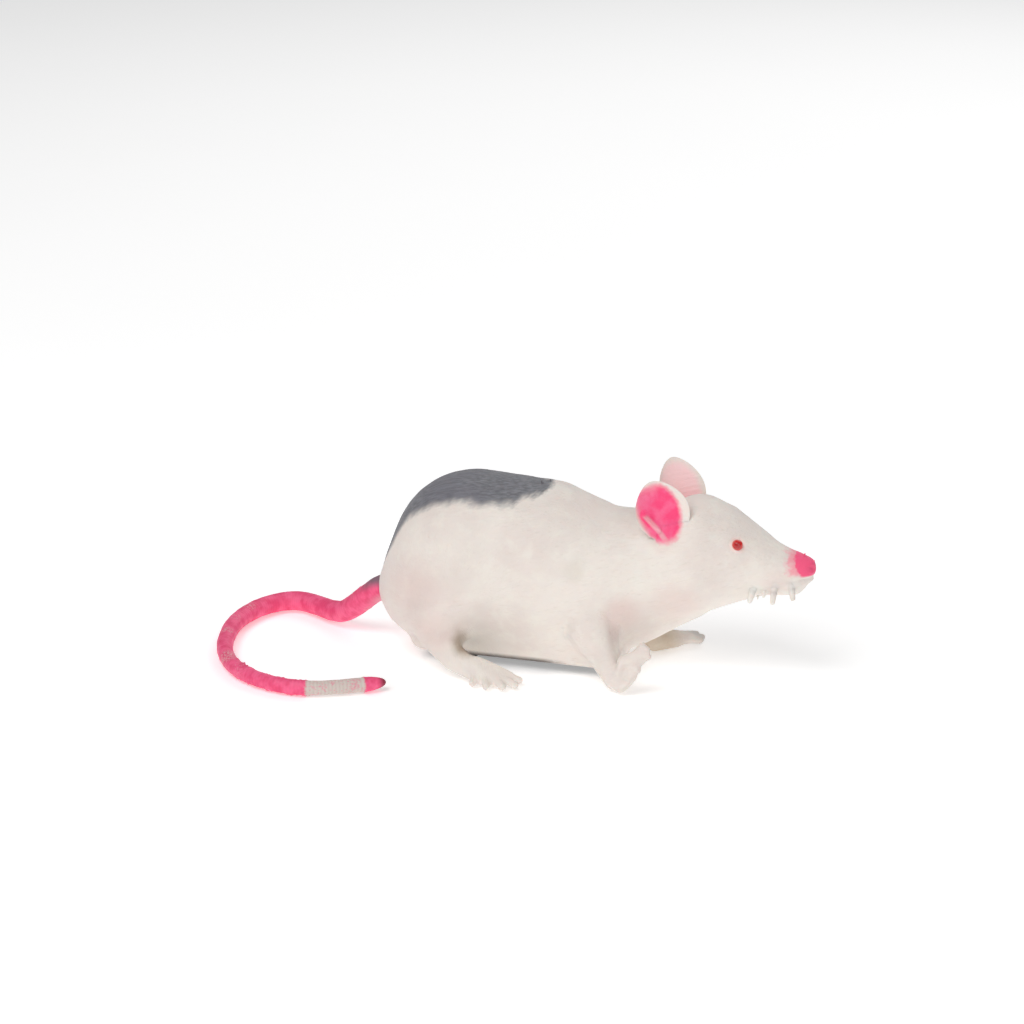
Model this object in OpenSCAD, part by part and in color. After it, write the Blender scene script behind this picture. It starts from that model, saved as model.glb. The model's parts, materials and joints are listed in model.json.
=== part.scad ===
// Clockwork rat: a hollow rubber rat over a wind-up motor on two drive wheels and a castor.
// X points to the nose, Y to the rat's left, Z up. The origin is on the floor below mid-body.

/* [Body] */
// Height of the back above the floor
back_height = 57.3; // [56.5:0.1:58.5]
// Wall of the rubber skin
skin_wall = 2.2; // [1.8:0.1:2.4]
// Radius of a round ear
ear_radius = 9.5; // [8:0.1:10]
// Radius of a red bead eye
eye_radius = 1.5; // [1.2:0.1:1.8]

/* [Tail] */
// Radius of the tail at its root
tail_root_radius = 3.7; // [3.2:0.1:3.8]
// Radius of the tail at its tip
tail_tip_radius = 2.3; // [1.8:0.1:2.4]
// Radius of the round end that is held in the rump
tail_ball_radius = 4.8; // [4.4:0.1:5]

/* [Wheels] */
// Radius over the rubber tyre
tyre_radius = 8; // [7.8:0.1:8.1]
// Width of a drive wheel
wheel_width = 2.8; // [2.2:0.1:3]
// Radius of the castor roller
roller_radius = 4; // [3.8:0.1:4]

/* [Motor] */
// Gap between the two steel side plates
plate_gap = 8.8; // [8.6:0.1:9]
// Thickness of a steel side plate
plate_thick = 0.7; // [0.5:0.1:0.8]
// Gear module, pitch diameter over teeth
gear_module = 0.5; // [0.5:0.01:0.5]
// Teeth on the great wheel
great_teeth = 40; // [40:1:40]
// Teeth on the intermediate wheel
middle_teeth = 30; // [30:1:30]
// Teeth on each pinion
pinion_teeth = 10; // [10:1:10]
// Turns of the mainspring strip
spring_turns = 7; // [5:1:8]

/* [Key] */
// Width across the two wings of the key
key_span = 17; // [14:1:18]
// Distance from the mid-plane to the key's outer edge
key_reach = 42; // [40:1:43]

/* [Hidden] */
$fn = 48;

skin_colour = [0.9, 0.86, 0.82];
tail_colour = [0.9, 0.33, 0.5];
steel_colour = [0.7, 0.71, 0.72];
brass_colour = [0.8, 0.64, 0.3];
black_colour = [0.1, 0.1, 0.1];

floor_gap = 0.3;
skin_facets = 22;
cavity_facets = 16;
limb_facets = 12;
fit = 0.05;
seat = 0.02;

// Motor layout in the X-Z plane: the wheel axle, then each arbor at its pitch distance.
axle_x = -37;
axle_z = tyre_radius;
pinion_pitch = gear_module * pinion_teeth / 2;
great_pitch = gear_module * great_teeth / 2;
middle_pitch = gear_module * middle_teeth / 2;
middle_dir = 50;
great_dir = 100;
governor_dir = -20;
middle_x = axle_x + (pinion_pitch + middle_pitch) * cos(middle_dir);
middle_z = axle_z + (pinion_pitch + middle_pitch) * sin(middle_dir);
great_x = middle_x + (pinion_pitch + great_pitch) * cos(great_dir);
great_z = middle_z + (pinion_pitch + great_pitch) * sin(great_dir);
governor_x = middle_x + (pinion_pitch + middle_pitch) * cos(governor_dir);
governor_z = middle_z + (pinion_pitch + middle_pitch) * sin(governor_dir);
plate_in = plate_gap / 2;
plate_out = plate_in + plate_thick;
pillars = [[-45, 13.2], [-45.2, 35.2], [-20.5, 36], [-17.6, 20.5]];
pillar_radius = 1.3;
rivet_radius = 0.8;
arbor_radius = 1.6;
pivot_radius = 1;
bush_radius = 1.9;
key_shaft_radius = 1.4;

// Layers of the train along Y.
great_layer = [-4, -3];
middle_layer = [-2.6, -1.6];
pinion_a_layer = [-4.1, -2.6];
pinion_b_layer = [-2.8, -1.4];
spring_layer = [-0.9, 3.7];
fly_layer = [0, 3.4];

// Wheels stand outside the motor plates.
wheel_in = plate_out + 0.9;
wheel_out = wheel_in + wheel_width;
hub_radius = 6.2;
slot_side = 0.4;

// Base plate: a plug that fills the belly opening, with a flange inside the skin.
base_low = 2.4;
base_mid = 4.7;
base_top = 5.7;
base_back = -49;
base_front = 8;
base_half = 11;
flange_over = 2;
castor_x = -3;
castor_well = 8.2;
castor_trail = 3;
castor_roof = 12.4;
dome_radius = castor_well + 1.2;
dome_top = castor_roof + 1.4 - base_mid;
stem_radius = 1.5;
screw_places = [[-45.3, 2.9], [-45.3, -2.9], [-22, 2.9], [-22, -2.9]];
screw_radius = 0.8;

// The tail's ball sits in the rump, and its route then falls to the floor and curls round.
tail_pivot = [-61, 0, 17];
tail_route = [tail_pivot, [-66, 0.2, 16.8], [-71, 1.2, 13.3], [-76, 3.2, 9], [-81, 6, 5.5],
    [-86, 9, 4.2], [-92.5, 12.8, 4], [-98.6, 15.2, 3.9], [-104, 13.8, 3.8],
    [-108.6, 8.4, 3.6], [-111, 0.4, 3.6], [-111.5, -9, 3.5], [-109.7, -19.5, 3.4],
    [-106.3, -29.8, 3.4], [-101.3, -38.6, 3.3], [-95.2, -45.2, 3.2], [-88, -49.8, 3.1],
    [-80, -52.4, 3], [-71.8, -52.4, 2.9], [-63.6, -49.2, 2.8], [-57, -45.2, 2.7],
    [-50.8, -41, 2.7]];

// Ellipsoids along the spine: x, z and the three radii.
rump = [-36.5, back_height - 27.3, 26, 25.5, 27.3];
haunches = [-41.5, 19.5, 25.8, 24.6, 17.6];
loin = [-14, 29.3, 22, 23, 26.3];
chest = [4, 27.4, 16, 19.5, 21.7];
neck = [19, 32, 12, 16, 17.4];
head = [33, 37.6, 13, 15.4, 17.9];
cheek = [41.5, 38, 7, 12.4, 15.2];
muzzle = [53, 35.6, 8, 8.5, 8.6];
snout = [61, 34.6, 5.6, 5.6, 6.8];
nose = [65.7, 36.2, 2.7, 3.2, 3.6];
spine = [rump, loin, chest, neck, head, cheek, muzzle, snout, nose];
eye_place = [46.9, 9.2, 44.6];
ear_place = [24.8, 12.3, 54.6];
ear_turn = 80;
ear_tilt = 82;

// Involute gear outline with teeth thinned for backlash, one tooth centred on angle 0.
pressure_angle = 25;
backlash = 0.1;
addendum = 0.8;
dedendum = 1.1;
function involute(base, t) =
    base * [cos(t) + t * PI / 180 * sin(t), sin(t) - t * PI / 180 * cos(t)];
function roll_to(base, radius) = sqrt(max(0, pow(radius / base, 2) - 1)) * 180 / PI;
function turned(p, a) = [p[0] * cos(a) - p[1] * sin(a), p[0] * sin(a) + p[1] * cos(a)];
function flank(teeth, steps) =
    let (pitch = gear_module * teeth / 2, base = pitch * cos(pressure_angle),
        tip = pitch + addendum * gear_module, root = pitch - dedendum * gear_module,
        first = max(base, root), lean = tan(pressure_angle) * 180 / PI - pressure_angle,
        half = 90 / teeth - backlash / 4 / pitch * 180 / PI + lean)
    [turned([root, 0], -half),
        for (i = [0:steps])
            let (r = first + (tip - first) * i / steps)
            turned(involute(base, roll_to(base, r)), -half)];
function mirrored(points) = [for (i = [len(points) - 1:-1:0]) [points[i][0], -points[i][1]]];
function gear_points(teeth, steps) =
    let (side = flank(teeth, steps), tooth = concat(side, mirrored(side)))
    [for (k = [0:teeth - 1]) for (p = tooth) turned(p, k * 360 / teeth)];
// Tooth phase of a gear that meshes with one of known phase, in direction dir from it.
function mesh_phase(phase, teeth_1, teeth_2, dir) =
    dir + 180 - (phase - dir) * teeth_1 / teeth_2 + 180 / teeth_2;
great_phase = great_dir + 180;
pinion_a_phase = mesh_phase(great_phase, great_teeth, pinion_teeth, great_dir + 180);
middle_phase = middle_dir + 180;
drive_phase = mesh_phase(middle_phase, middle_teeth, pinion_teeth, middle_dir + 180);
governor_phase = mesh_phase(middle_phase, middle_teeth, pinion_teeth, governor_dir);

// Extrudes an X-Z outline between two places along Y.
module along_y(low, high) {
    translate([0, high, 0]) rotate([90, 0, 0]) linear_extrude(high - low) children();
}

module rod_y(place, radius, low, high) {
    translate([place[0], high, place[1]]) rotate([90, 0, 0]) cylinder(r = radius, h = high - low);
}

module gear(place, teeth, phase, layer, bore) {
    color(brass_colour) along_y(layer[0], layer[1]) translate(place) difference() {
        rotate(phase) polygon(gear_points(teeth, 3));
        circle(bore);
    }
}

module ellipsoid(s, shrink, facets) {
    translate([s[0], 0, s[1]])
        scale([s[2] - shrink, s[3] - shrink, s[4] - shrink]) sphere(1, $fn = facets);
}

module ball(p, r) {
    translate(p) sphere(r, $fn = limb_facets);
}

module limb(a, ra, b, rb) {
    hull() {
        ball(a, ra);
        ball(b, rb);
    }
}

module torso(shrink, facets) {
    for (i = [0:len(spine) - 2]) hull() {
        ellipsoid(spine[i], shrink, facets);
        ellipsoid(spine[i + 1], shrink, facets);
    }
    ellipsoid(haunches, shrink, facets);
}

module belly() {
    hull() for (x = [base_back + 1, base_front + 1], y = [-base_half, base_half])
        translate([x, y, base_low + 4]) sphere(4, $fn = 16);
}

module ear_disc(side) {
    translate([ear_place[0], side * ear_place[1], ear_place[2]])
        rotate([0, 0, side * ear_turn]) rotate([0, ear_tilt, 0])
        difference() {
            scale([ear_radius, ear_radius * 0.92, 2]) sphere(1, $fn = skin_facets);
            translate([0, 0, 4.3]) scale([ear_radius, ear_radius * 0.92, 4])
                sphere(1, $fn = skin_facets);
        }
}

module toes(heel, tips, root, tip) {
    for (p = tips) limb(heel, root, p, tip);
}

// Hind leg: thigh against the haunch, a long low foot and four toes.
module hind_leg(side) {
    limb([-42, side * 18, 16], 11, [-43, side * 20.5, 9.8], 5.4);
    limb([-43, side * 20.5, 9.8], 5.4, [-35.3, side * 24.4, 5.8], 4.1);
    limb([-35.3, side * 24.4, 5.8], 4.1, [-23.8, side * 26.2, 4.2], 3.4);
    toes([-24.2, side * 27.4, 3], [[-26.7, side * 32.4, 1.7], [-21, side * 32.8, 1.7],
        [-15.4, side * 31.2, 1.7], [-14.2, side * 26.2, 1.8]], 2.5, 1.4);
}

// The right forepaw is twisted, with its palm turned out and its fingers up.
module fore_leg_right() {
    limb([5, -15, 17], 8, [9.6, -19, 9.6], 4.6);
    limb([9.6, -19, 9.6], 4.6, [14.6, -23.2, 4.1], 3.5);
    limb([14.6, -23.2, 4.1], 3.4, [18.6, -23.8, 7.4], 3.2);
    toes([18.4, -23.4, 7.8], [[21.2, -22.4, 14.4], [23.4, -22.9, 12.9], [23.7, -24.1, 10.4],
        [22, -25.4, 7.8]], 2.2, 1.2);
}

module fore_leg_left() {
    limb([5, 14, 17], 8, [11.5, 15.4, 9], 4.6);
    limb([11.5, 15.4, 9], 4.6, [16.8, 13.2, 3.8], 3.4);
    limb([16.8, 13.2, 3.8], 3.4, [22.4, 18.8, 3], 2.8);
    toes([22.4, 18.8, 2.7], [[29, 22.4, 1.7], [28.6, 25.6, 1.7], [26.2, 27.8, 1.7],
        [22.4, 26.4, 1.7]], 2.1, 1.2);
}

module whiskers(side) {
    limb([51.6, side * 6.5, 32], 1.2, [51.5, side * 9.6, 27.8], 0.7);
    limb([57.3, side * 5, 32], 1.2, [57.5, side * 8.4, 27.4], 0.7);
    limb([61.7, side * 3.6, 33], 1.1, [63, side * 6.6, 28.8], 0.7);
}

module body_skin() {
    color(skin_colour) difference() {
        union() {
            torso(0, skin_facets);
            belly();
            for (side = [-1, 1]) {
                hind_leg(side);
                ear_disc(side);
                whiskers(side);
            }
            fore_leg_right();
            fore_leg_left();
        }
        difference() {
            intersection() {
                torso(skin_wall, cavity_facets);
                translate([-80, -40, base_mid]) cube([160, 80, 80]);
            }
            translate(tail_pivot) sphere(tail_ball_radius + 2.4, $fn = 24);
        }
        translate([base_back - flange_over - 0.2, -base_half - flange_over - 0.2, base_mid])
            cube([base_front - base_back + 2 * flange_over + 0.4,
                2 * (base_half + flange_over + 0.2), 5]);
        translate([base_back - 0.1, -base_half - 0.1, 0])
            cube([base_front - base_back + 0.2, 2 * base_half + 0.2, base_mid + 1]);
        translate([castor_x, 0, base_mid]) cylinder(r = dome_radius + 0.3, h = dome_top + 0.3);
        for (side = [-1, 1])
            translate([eye_place[0], side * eye_place[1], eye_place[2]]) sphere(eye_radius + seat);
        translate([great_x, 10, great_z]) rotate([-90, 0, 0]) cylinder(r = 2.9, h = 30);
        translate(tail_pivot) sphere(tail_ball_radius + 0.3, $fn = 32);
        hull() {
            translate(tail_pivot) sphere(tail_root_radius + 0.4, $fn = 24);
            for (y = [-3, 5]) translate(tail_pivot + [-12, y, -2.4])
                sphere(tail_root_radius + 2.9, $fn = 24);
        }
        translate([-120, -60, -20]) cube([240, 120, 20 + floor_gap]);
    }
}

module eye(side) {
    color([0.85, 0.1, 0.08]) translate([eye_place[0], side * eye_place[1], eye_place[2]])
        sphere(eye_radius);
}

module rounded_slab(x0, x1, half, z0, z1, corner) {
    translate([0, 0, z0]) linear_extrude(z1 - z0) hull()
        for (x = [x0 + corner, x1 - corner], y = [-half + corner, half - corner])
            translate([x, y]) circle(corner, $fn = 32);
}

// Black plastic chassis: belly plug, flange, wheel slots, pinion window and castor dome.
module base_plate() {
    color(black_colour) difference() {
        union() {
            translate([base_back, -base_half, base_low])
                cube([base_front - base_back, 2 * base_half, base_mid - base_low]);
            translate([base_back - flange_over, -base_half - flange_over, base_mid])
                cube([base_front - base_back + 2 * flange_over,
                    2 * (base_half + flange_over), base_top - base_mid]);
            translate([castor_x, 0, base_mid]) cylinder(r = dome_radius, h = dome_top);
        }
        translate([castor_x, 0, 0]) cylinder(r = castor_well, h = castor_roof);
        translate([castor_x, 0, 0]) cylinder(r = stem_radius + fit, h = 30);
        for (side = [-1, 1])
            translate([axle_x - 8.8, side * (wheel_in + wheel_out) / 2 - wheel_width / 2 - slot_side,
                0]) cube([17.6, wheel_width + 2 * slot_side, 20]);
        translate([axle_x - 3.6, -3.6, 0]) cube([7.2, 3, 20]);
        for (p = screw_places) {
            translate([p[0], p[1], 0]) cylinder(r = screw_radius + seat, h = 20);
            translate([p[0], p[1], 0]) cylinder(r = 1.6, h = base_low + 1.3);
        }
    }
}

// Steel side plate with its pivot holes, a slot for the middle arbor and two bent feet.
module motor_plate(side) {
    low = side > 0 ? plate_in : -plate_out;
    color(steel_colour) difference() {
        union() {
            along_y(low, low + plate_thick) hull() {
                for (p = pillars) translate(p) circle(2.6, $fn = 32);
                translate([axle_x, axle_z + 1.2]) circle(2.8, $fn = 32);
                translate([governor_x, governor_z]) circle(3.4, $fn = 32);
                for (p = screw_places) translate([p[0], base_top + 0.6]) circle(0.6, $fn = 32);
            }
            for (x = [screw_places[0][0], screw_places[2][0]])
                translate([x - 1.6, side > 0 ? 1.2 : -plate_in, base_top])
                    cube([3.2, plate_in - 1.2, plate_thick]);
        }
        for (p = pillars) rod_y(p, rivet_radius + seat, -9, 9);
        rod_y([axle_x, axle_z], bush_radius + seat, -9, 9);
        rod_y([great_x, great_z], bush_radius + seat, -9, 9);
        rod_y([governor_x, governor_z], 0.6 + fit, -9, 9);
        rod_y([middle_x, middle_z], pivot_radius + fit, -9, 9);
        rod_y([middle_x + 1.1 * cos(great_dir - 180), middle_z + 1.1 * sin(great_dir - 180)],
            pivot_radius + fit, -9, 9);
        for (s = [0, 2]) translate([screw_places[s][0], side * 2.9, 0])
            cylinder(r = screw_radius + seat, h = 9);
    }
}

module frame_pillars() {
    color(steel_colour) for (p = pillars) difference() {
        rod_y(p, pillar_radius, -plate_in + seat, plate_in - seat);
        rod_y(p, rivet_radius + seat, -9, 9);
    }
}

// Four through rivets, one down each pillar, headed outside both plates.
module plate_rivets() {
    color(steel_colour) for (p = pillars) {
        rod_y(p, rivet_radius, -plate_out, plate_out);
        rod_y(p, 1.35, plate_out, plate_out + 0.4);
        rod_y(p, 1.35, -plate_out - 0.4, -plate_out);
    }
}

module motor_screws() {
    color(steel_colour) for (p = screw_places) translate([p[0], p[1], 0]) difference() {
        union() {
            translate([0, 0, base_low + 0.3]) cylinder(r = 1.5, h = 1);
            translate([0, 0, base_low + 1.3]) cylinder(r = screw_radius, h = 3.2);
        }
        translate([-2, -0.2, base_low]) cube([4, 0.4, 0.7]);
    }
}

// Eyelet that lines the key's hole in the left flank.
module key_grommet() {
    color(brass_colour) translate([great_x, 0, great_z]) rotate([-90, 0, 0]) difference() {
        union() {
            translate([0, 0, 21.5]) cylinder(r = 2.8, h = 5.4);
            translate([0, 0, 26.2]) cylinder(r = 4, h = 0.7);
        }
        cylinder(r = key_shaft_radius + 0.4, h = 40);
    }
}

module bush(place, side, bore) {
    low = side > 0 ? plate_in - 0.2 : -plate_out - 0.2;
    color(brass_colour) difference() {
        rod_y(place, bush_radius, low, low + plate_thick + 0.4);
        rod_y(place, bore + fit, -9, 9);
    }
}

// Spiral strip, hooked on the arbor inside and on the upper rear pillar outside.
spring_inner = arbor_radius + 0.5;
spring_outer = 9.9;
strip = 0.3;
spring_hook = pillars[1] - [great_x, great_z];
hook_dir = atan2(spring_hook[1], spring_hook[0]);
hook_reach = norm(spring_hook);
spiral_steps = 24;
function spiral(offset) = [for (i = [0:spring_turns * spiral_steps])
    let (a = hook_dir + 360 * (i / spiral_steps - spring_turns),
        r = spring_inner + (spring_outer - spring_inner) * i / spring_turns / spiral_steps)
    (r + offset) * [cos(a), sin(a)]];
function backwards(points) = [for (i = [len(points) - 1:-1:0]) points[i]];
module mainspring() {
    color([0.45, 0.5, 0.58]) along_y(spring_layer[0], spring_layer[1])
        translate([great_x, great_z]) {
            polygon(concat(spiral(-strip / 2), backwards(spiral(strip / 2))));
            rotate(hook_dir) translate([spring_outer - strip, -strip / 2])
                square([hook_reach - pillar_radius - 0.2 - spring_outer + strip, strip]);
            translate(spring_hook) difference() {
                circle(pillar_radius + 0.45, $fn = 32);
                circle(pillar_radius + 0.08, $fn = 32);
            }
        }
}

module winding_arbor() {
    color(steel_colour) {
        rod_y([great_x, great_z], arbor_radius, -plate_in + 0.3, plate_in - 0.3);
        rod_y([great_x, great_z], pivot_radius, -plate_out - 0.5, -plate_in + 0.3);
        rod_y([great_x, great_z], key_shaft_radius, plate_in - 0.3, key_reach - 9);
    }
}

module key_barrel() {
    color(brass_colour) difference() {
        union() {
            rod_y([great_x, great_z], 2.3, 28.4, key_reach - 7.5);
            rod_y([great_x, great_z], 2.8, 28.4, 29.6);
        }
        rod_y([great_x, great_z], key_shaft_radius + seat, 20, key_reach - 8.96);
    }
}

// Flat key with two round wings, each with a hole.
module key_wings() {
    wing = 4.2;
    color(brass_colour) translate([great_x, key_reach - 7.5 + wing, great_z])
        rotate([90, 0, 0]) rotate([90, 0, 0]) translate([0, 0, -0.6]) linear_extrude(1.2)
            difference() {
                union() {
                    for (s = [-1, 1]) translate([s * (key_span / 2 - wing), 0]) circle(wing);
                    square([key_span - 2 * wing, 3.6], center = true);
                    translate([-1.8, 0]) square([3.6, wing - seat]);
                }
                for (s = [-1, 1]) translate([s * (key_span / 2 - wing), 0]) circle(1.9);
            }
}

module castor_fork() {
    color(black_colour) difference() {
        union() {
            translate([castor_x, 0, castor_roof - 1.6]) cylinder(r = 6, h = 1.4);
            translate([castor_x, 0, castor_roof - 0.6]) cylinder(r = stem_radius, h = 4.4);
            for (s = [-1, 1]) along_y(s > 0 ? 2.7 : -3.7, s > 0 ? 3.7 : -2.7) hull() {
                translate([castor_x - castor_trail, roller_radius]) circle(1.7, $fn = 32);
                translate([castor_x, castor_roof - 1]) square([5, 0.6], center = true);
            }
        }
        rod_y([castor_x - castor_trail, roller_radius], 0.8 + seat, -9, 9);
        translate([castor_x, 0, castor_roof + 1.6]) rotate_extrude()
            translate([1.1, 0]) square([1, 0.5]);
    }
}

// Spring washer in the groove of the castor stem, above the dome.
module castor_washer() {
    color(steel_colour) translate([castor_x, 0, castor_roof + 1.62]) difference() {
        cylinder(r = 2.9, h = 0.44);
        translate([0, 0, -1]) cylinder(r = 1.12, h = 3);
        translate([0, -1.12, -1]) cube([5, 2.24, 3]);
    }
}

module castor_axle() {
    color(steel_colour) rod_y([castor_x - castor_trail, roller_radius], 0.8, -4, 4);
}

module castor_roller() {
    color([0.85, 0.85, 0.82]) translate([castor_x - castor_trail, 2.4, roller_radius])
        rotate([90, 0, 0]) rotate_extrude()
            polygon([[0.8 + fit, 0], [2, 0], [2, 0.3], [roller_radius - 0.5, 0.3],
                [roller_radius, 0.8], [roller_radius, 4], [roller_radius - 0.5, 4.5], [2, 4.5],
                [2, 4.8], [0.8 + fit, 4.8]]);
}

module middle_arbor() {
    color(steel_colour) {
        rod_y([middle_x, middle_z], 1.3, -plate_in + 0.2, plate_in - 0.2);
        rod_y([middle_x, middle_z], pivot_radius, -plate_out - 0.4, plate_out + 0.4);
    }
}

module drive_axle() {
    color(steel_colour) rod_y([axle_x, axle_z], pivot_radius, -wheel_out - 0.4, wheel_out + 0.4);
}

module wheel_hub(side) {
    low = side > 0 ? wheel_in : -wheel_out;
    rim = side > 0 ? wheel_out : -wheel_in;
    color([0.85, 0.2, 0.15]) translate([axle_x, rim, axle_z]) rotate([90, 0, 0]) difference() {
        rotate_extrude() polygon([[pivot_radius + seat, 0], [2.4, 0], [2.4, 0.7],
            [hub_radius - 1.4, 0.7], [hub_radius - 1.4, 0], [hub_radius, 0],
            [hub_radius, wheel_width], [hub_radius - 1.4, wheel_width],
            [hub_radius - 1.4, wheel_width - 0.7], [2.4, wheel_width - 0.7],
            [2.4, wheel_width], [pivot_radius + seat, wheel_width]]);
        for (a = [0:72:288]) rotate(a) translate([3.6, 0, -1]) cylinder(r = 0.8, h = 5, $fn = 24);
    }
}

module tyre(side) {
    rim = side > 0 ? wheel_out : -wheel_in;
    inner = hub_radius + seat;
    color([0.12, 0.12, 0.12]) translate([axle_x, rim, axle_z]) rotate([90, 0, 0])
        rotate_extrude() polygon([[inner, 0], [tyre_radius - 0.5, 0], [tyre_radius, 0.5],
            [tyre_radius, wheel_width - 0.5], [tyre_radius - 0.5, wheel_width],
            [inner, wheel_width]]);
}

module governor_arbor() {
    color(steel_colour) {
        rod_y([governor_x, governor_z], 0.9, -plate_in + 0.2, plate_in - 0.2);
        rod_y([governor_x, governor_z], 0.6, -plate_out - 0.3, plate_out + 0.3);
    }
}

// Two-armed fly that the train spins fast, so that air and friction hold the speed down.
module governor_fly() {
    color(brass_colour) difference() {
        union() {
            rod_y([governor_x, governor_z], 1.8, fly_layer[0], fly_layer[1]);
            translate([governor_x, fly_layer[1] / 2, governor_z]) rotate([0, 35, 0])
                cube([7.2, fly_layer[1], 0.8], center = true);
        }
        rod_y([governor_x, governor_z], 0.9 + seat, -9, 9);
    }
}

function route_point(i) = tail_route[min(max(i, 0), len(tail_route) - 1)];
function smooth_point(i, t) =
    let (a = route_point(i - 1), b = route_point(i), c = route_point(i + 1), d = route_point(i + 2))
    (2 * b + (c - a) * t + (2 * a - 5 * b + 4 * c - d) * pow(t, 2)
        + (3 * b - a - 3 * c + d) * pow(t, 3)) / 2;
tail_cuts = 3;
tail_end = len(tail_route) - 1;
tail_line = [for (i = [0:tail_end - 1], k = [0:tail_cuts - 1]) smooth_point(i, k / tail_cuts),
    tail_route[tail_end]];
tail_last = len(tail_line) - 1;
tail_sides = 12;
// The blunt tip: steps past the last point and the radii there, as shares of the tip radius.
tip_steps = [[0.38, 0.92], [0.71, 0.7], [0.92, 0.38]];
function unit(v) = v / norm(v);
function along(i) = unit(tail_line[min(i + 1, tail_last)] - tail_line[max(i - 1, 0)]);
function tail_radius(i) =
    tail_root_radius + (tail_tip_radius - tail_root_radius) * i / tail_last;
function ring(i, step, radius) =
    let (t = along(i), s = unit(cross([0, 0, 1], t)), u = cross(t, s))
    [for (k = [0:tail_sides - 1]) tail_line[i] + step * t
        + radius * (cos(360 * k / tail_sides) * s + sin(360 * k / tail_sides) * u)];

// The tail is one tapered rubber moulding from the ball to its blunt tip.
module tail() {
    points = [for (i = [0:tail_last]) each ring(i, 0, tail_radius(i)),
        for (e = tip_steps) each ring(tail_last, e[0] * tail_tip_radius, e[1] * tail_tip_radius)];
    rings = len(points) / tail_sides;
    sides = [for (i = [0:rings - 2], k = [0:tail_sides - 1])
        let (a = i * tail_sides + k, b = i * tail_sides + (k + 1) % tail_sides)
        each [[a, a + tail_sides, b + tail_sides], [a, b + tail_sides, b]]];
    root_cap = [for (k = [0:tail_sides - 1]) k];
    tip_cap = [for (k = [tail_sides - 1:-1:0]) (rings - 1) * tail_sides + k];
    color(tail_colour) union() {
        polyhedron(points, concat([root_cap, tip_cap], sides));
        translate(tail_pivot) sphere(tail_ball_radius, $fn = 24);
    }
}

body_skin();
eye(-1);  // eye_right
eye(1);  // eye_left
base_plate();
motor_plate(-1);  // motor_plate_right
motor_plate(1);  // motor_plate_left
frame_pillars();
plate_rivets();
motor_screws();
key_grommet();
bush([great_x, great_z], -1, pivot_radius);  // arbor_bush_right
bush([great_x, great_z], 1, key_shaft_radius);  // arbor_bush_left
bush([axle_x, axle_z], -1, pivot_radius);  // axle_bush_right
bush([axle_x, axle_z], 1, pivot_radius);  // axle_bush_left
mainspring();
winding_arbor();
gear([great_x, great_z], great_teeth, great_phase, great_layer, arbor_radius + seat);  // great_wheel
key_barrel();
key_wings();
middle_arbor();
gear([middle_x, middle_z], middle_teeth, middle_phase, middle_layer, 1.3 + seat);  // middle_wheel
gear([middle_x, middle_z], pinion_teeth, pinion_a_phase, pinion_a_layer, 1.3 + seat);  // middle_pinion
drive_axle();
gear([axle_x, axle_z], pinion_teeth, drive_phase, pinion_b_layer, pivot_radius + seat);  // drive_pinion
wheel_hub(-1);  // wheel_hub_right
wheel_hub(1);  // wheel_hub_left
tyre(-1);  // tyre_right
tyre(1);  // tyre_left
governor_arbor();
gear([governor_x, governor_z], pinion_teeth, governor_phase, pinion_b_layer, 0.9 + seat);  // governor_pinion
governor_fly();
castor_fork();
castor_washer();
castor_axle();
castor_roller();
tail();
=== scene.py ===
import json
import math

import bpy
import numpy as np
from mathutils import Matrix, Vector, noise


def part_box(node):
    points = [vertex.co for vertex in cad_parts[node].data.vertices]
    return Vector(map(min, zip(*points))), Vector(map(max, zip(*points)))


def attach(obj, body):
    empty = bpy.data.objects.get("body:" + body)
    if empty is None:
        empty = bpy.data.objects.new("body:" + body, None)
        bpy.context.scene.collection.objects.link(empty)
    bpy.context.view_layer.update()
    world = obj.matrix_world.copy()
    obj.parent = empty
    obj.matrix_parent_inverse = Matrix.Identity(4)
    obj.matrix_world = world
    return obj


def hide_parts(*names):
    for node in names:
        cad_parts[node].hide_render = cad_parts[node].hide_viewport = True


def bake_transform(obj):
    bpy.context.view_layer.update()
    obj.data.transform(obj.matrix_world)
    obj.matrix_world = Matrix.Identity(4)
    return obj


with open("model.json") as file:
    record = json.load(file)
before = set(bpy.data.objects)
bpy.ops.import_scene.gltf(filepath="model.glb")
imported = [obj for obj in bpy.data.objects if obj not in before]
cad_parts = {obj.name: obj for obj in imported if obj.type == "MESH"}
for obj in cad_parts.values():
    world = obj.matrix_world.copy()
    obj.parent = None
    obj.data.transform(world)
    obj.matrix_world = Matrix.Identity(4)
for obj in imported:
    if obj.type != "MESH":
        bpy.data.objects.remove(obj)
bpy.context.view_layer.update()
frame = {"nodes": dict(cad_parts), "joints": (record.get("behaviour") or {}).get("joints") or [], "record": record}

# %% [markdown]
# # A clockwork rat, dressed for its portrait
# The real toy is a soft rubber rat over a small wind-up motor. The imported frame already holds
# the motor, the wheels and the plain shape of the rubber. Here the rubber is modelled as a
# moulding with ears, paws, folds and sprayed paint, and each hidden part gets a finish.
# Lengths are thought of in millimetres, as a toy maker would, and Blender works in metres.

MM = 0.001
SIDES = (-1, 1)  # right is -Y, left is +Y


def metres(place):
    """A place in millimetres as a vector in metres."""
    return Vector(place) * MM


# %% [markdown]
# ## Working with operators in code
# By hand one picks an object, goes into edit mode and uses a tool. In code the same tools are
# bpy.ops calls, and they act on all that is selected. The loaded frame is selected, so each
# step first deselects everything, then picks its own pieces.

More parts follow.
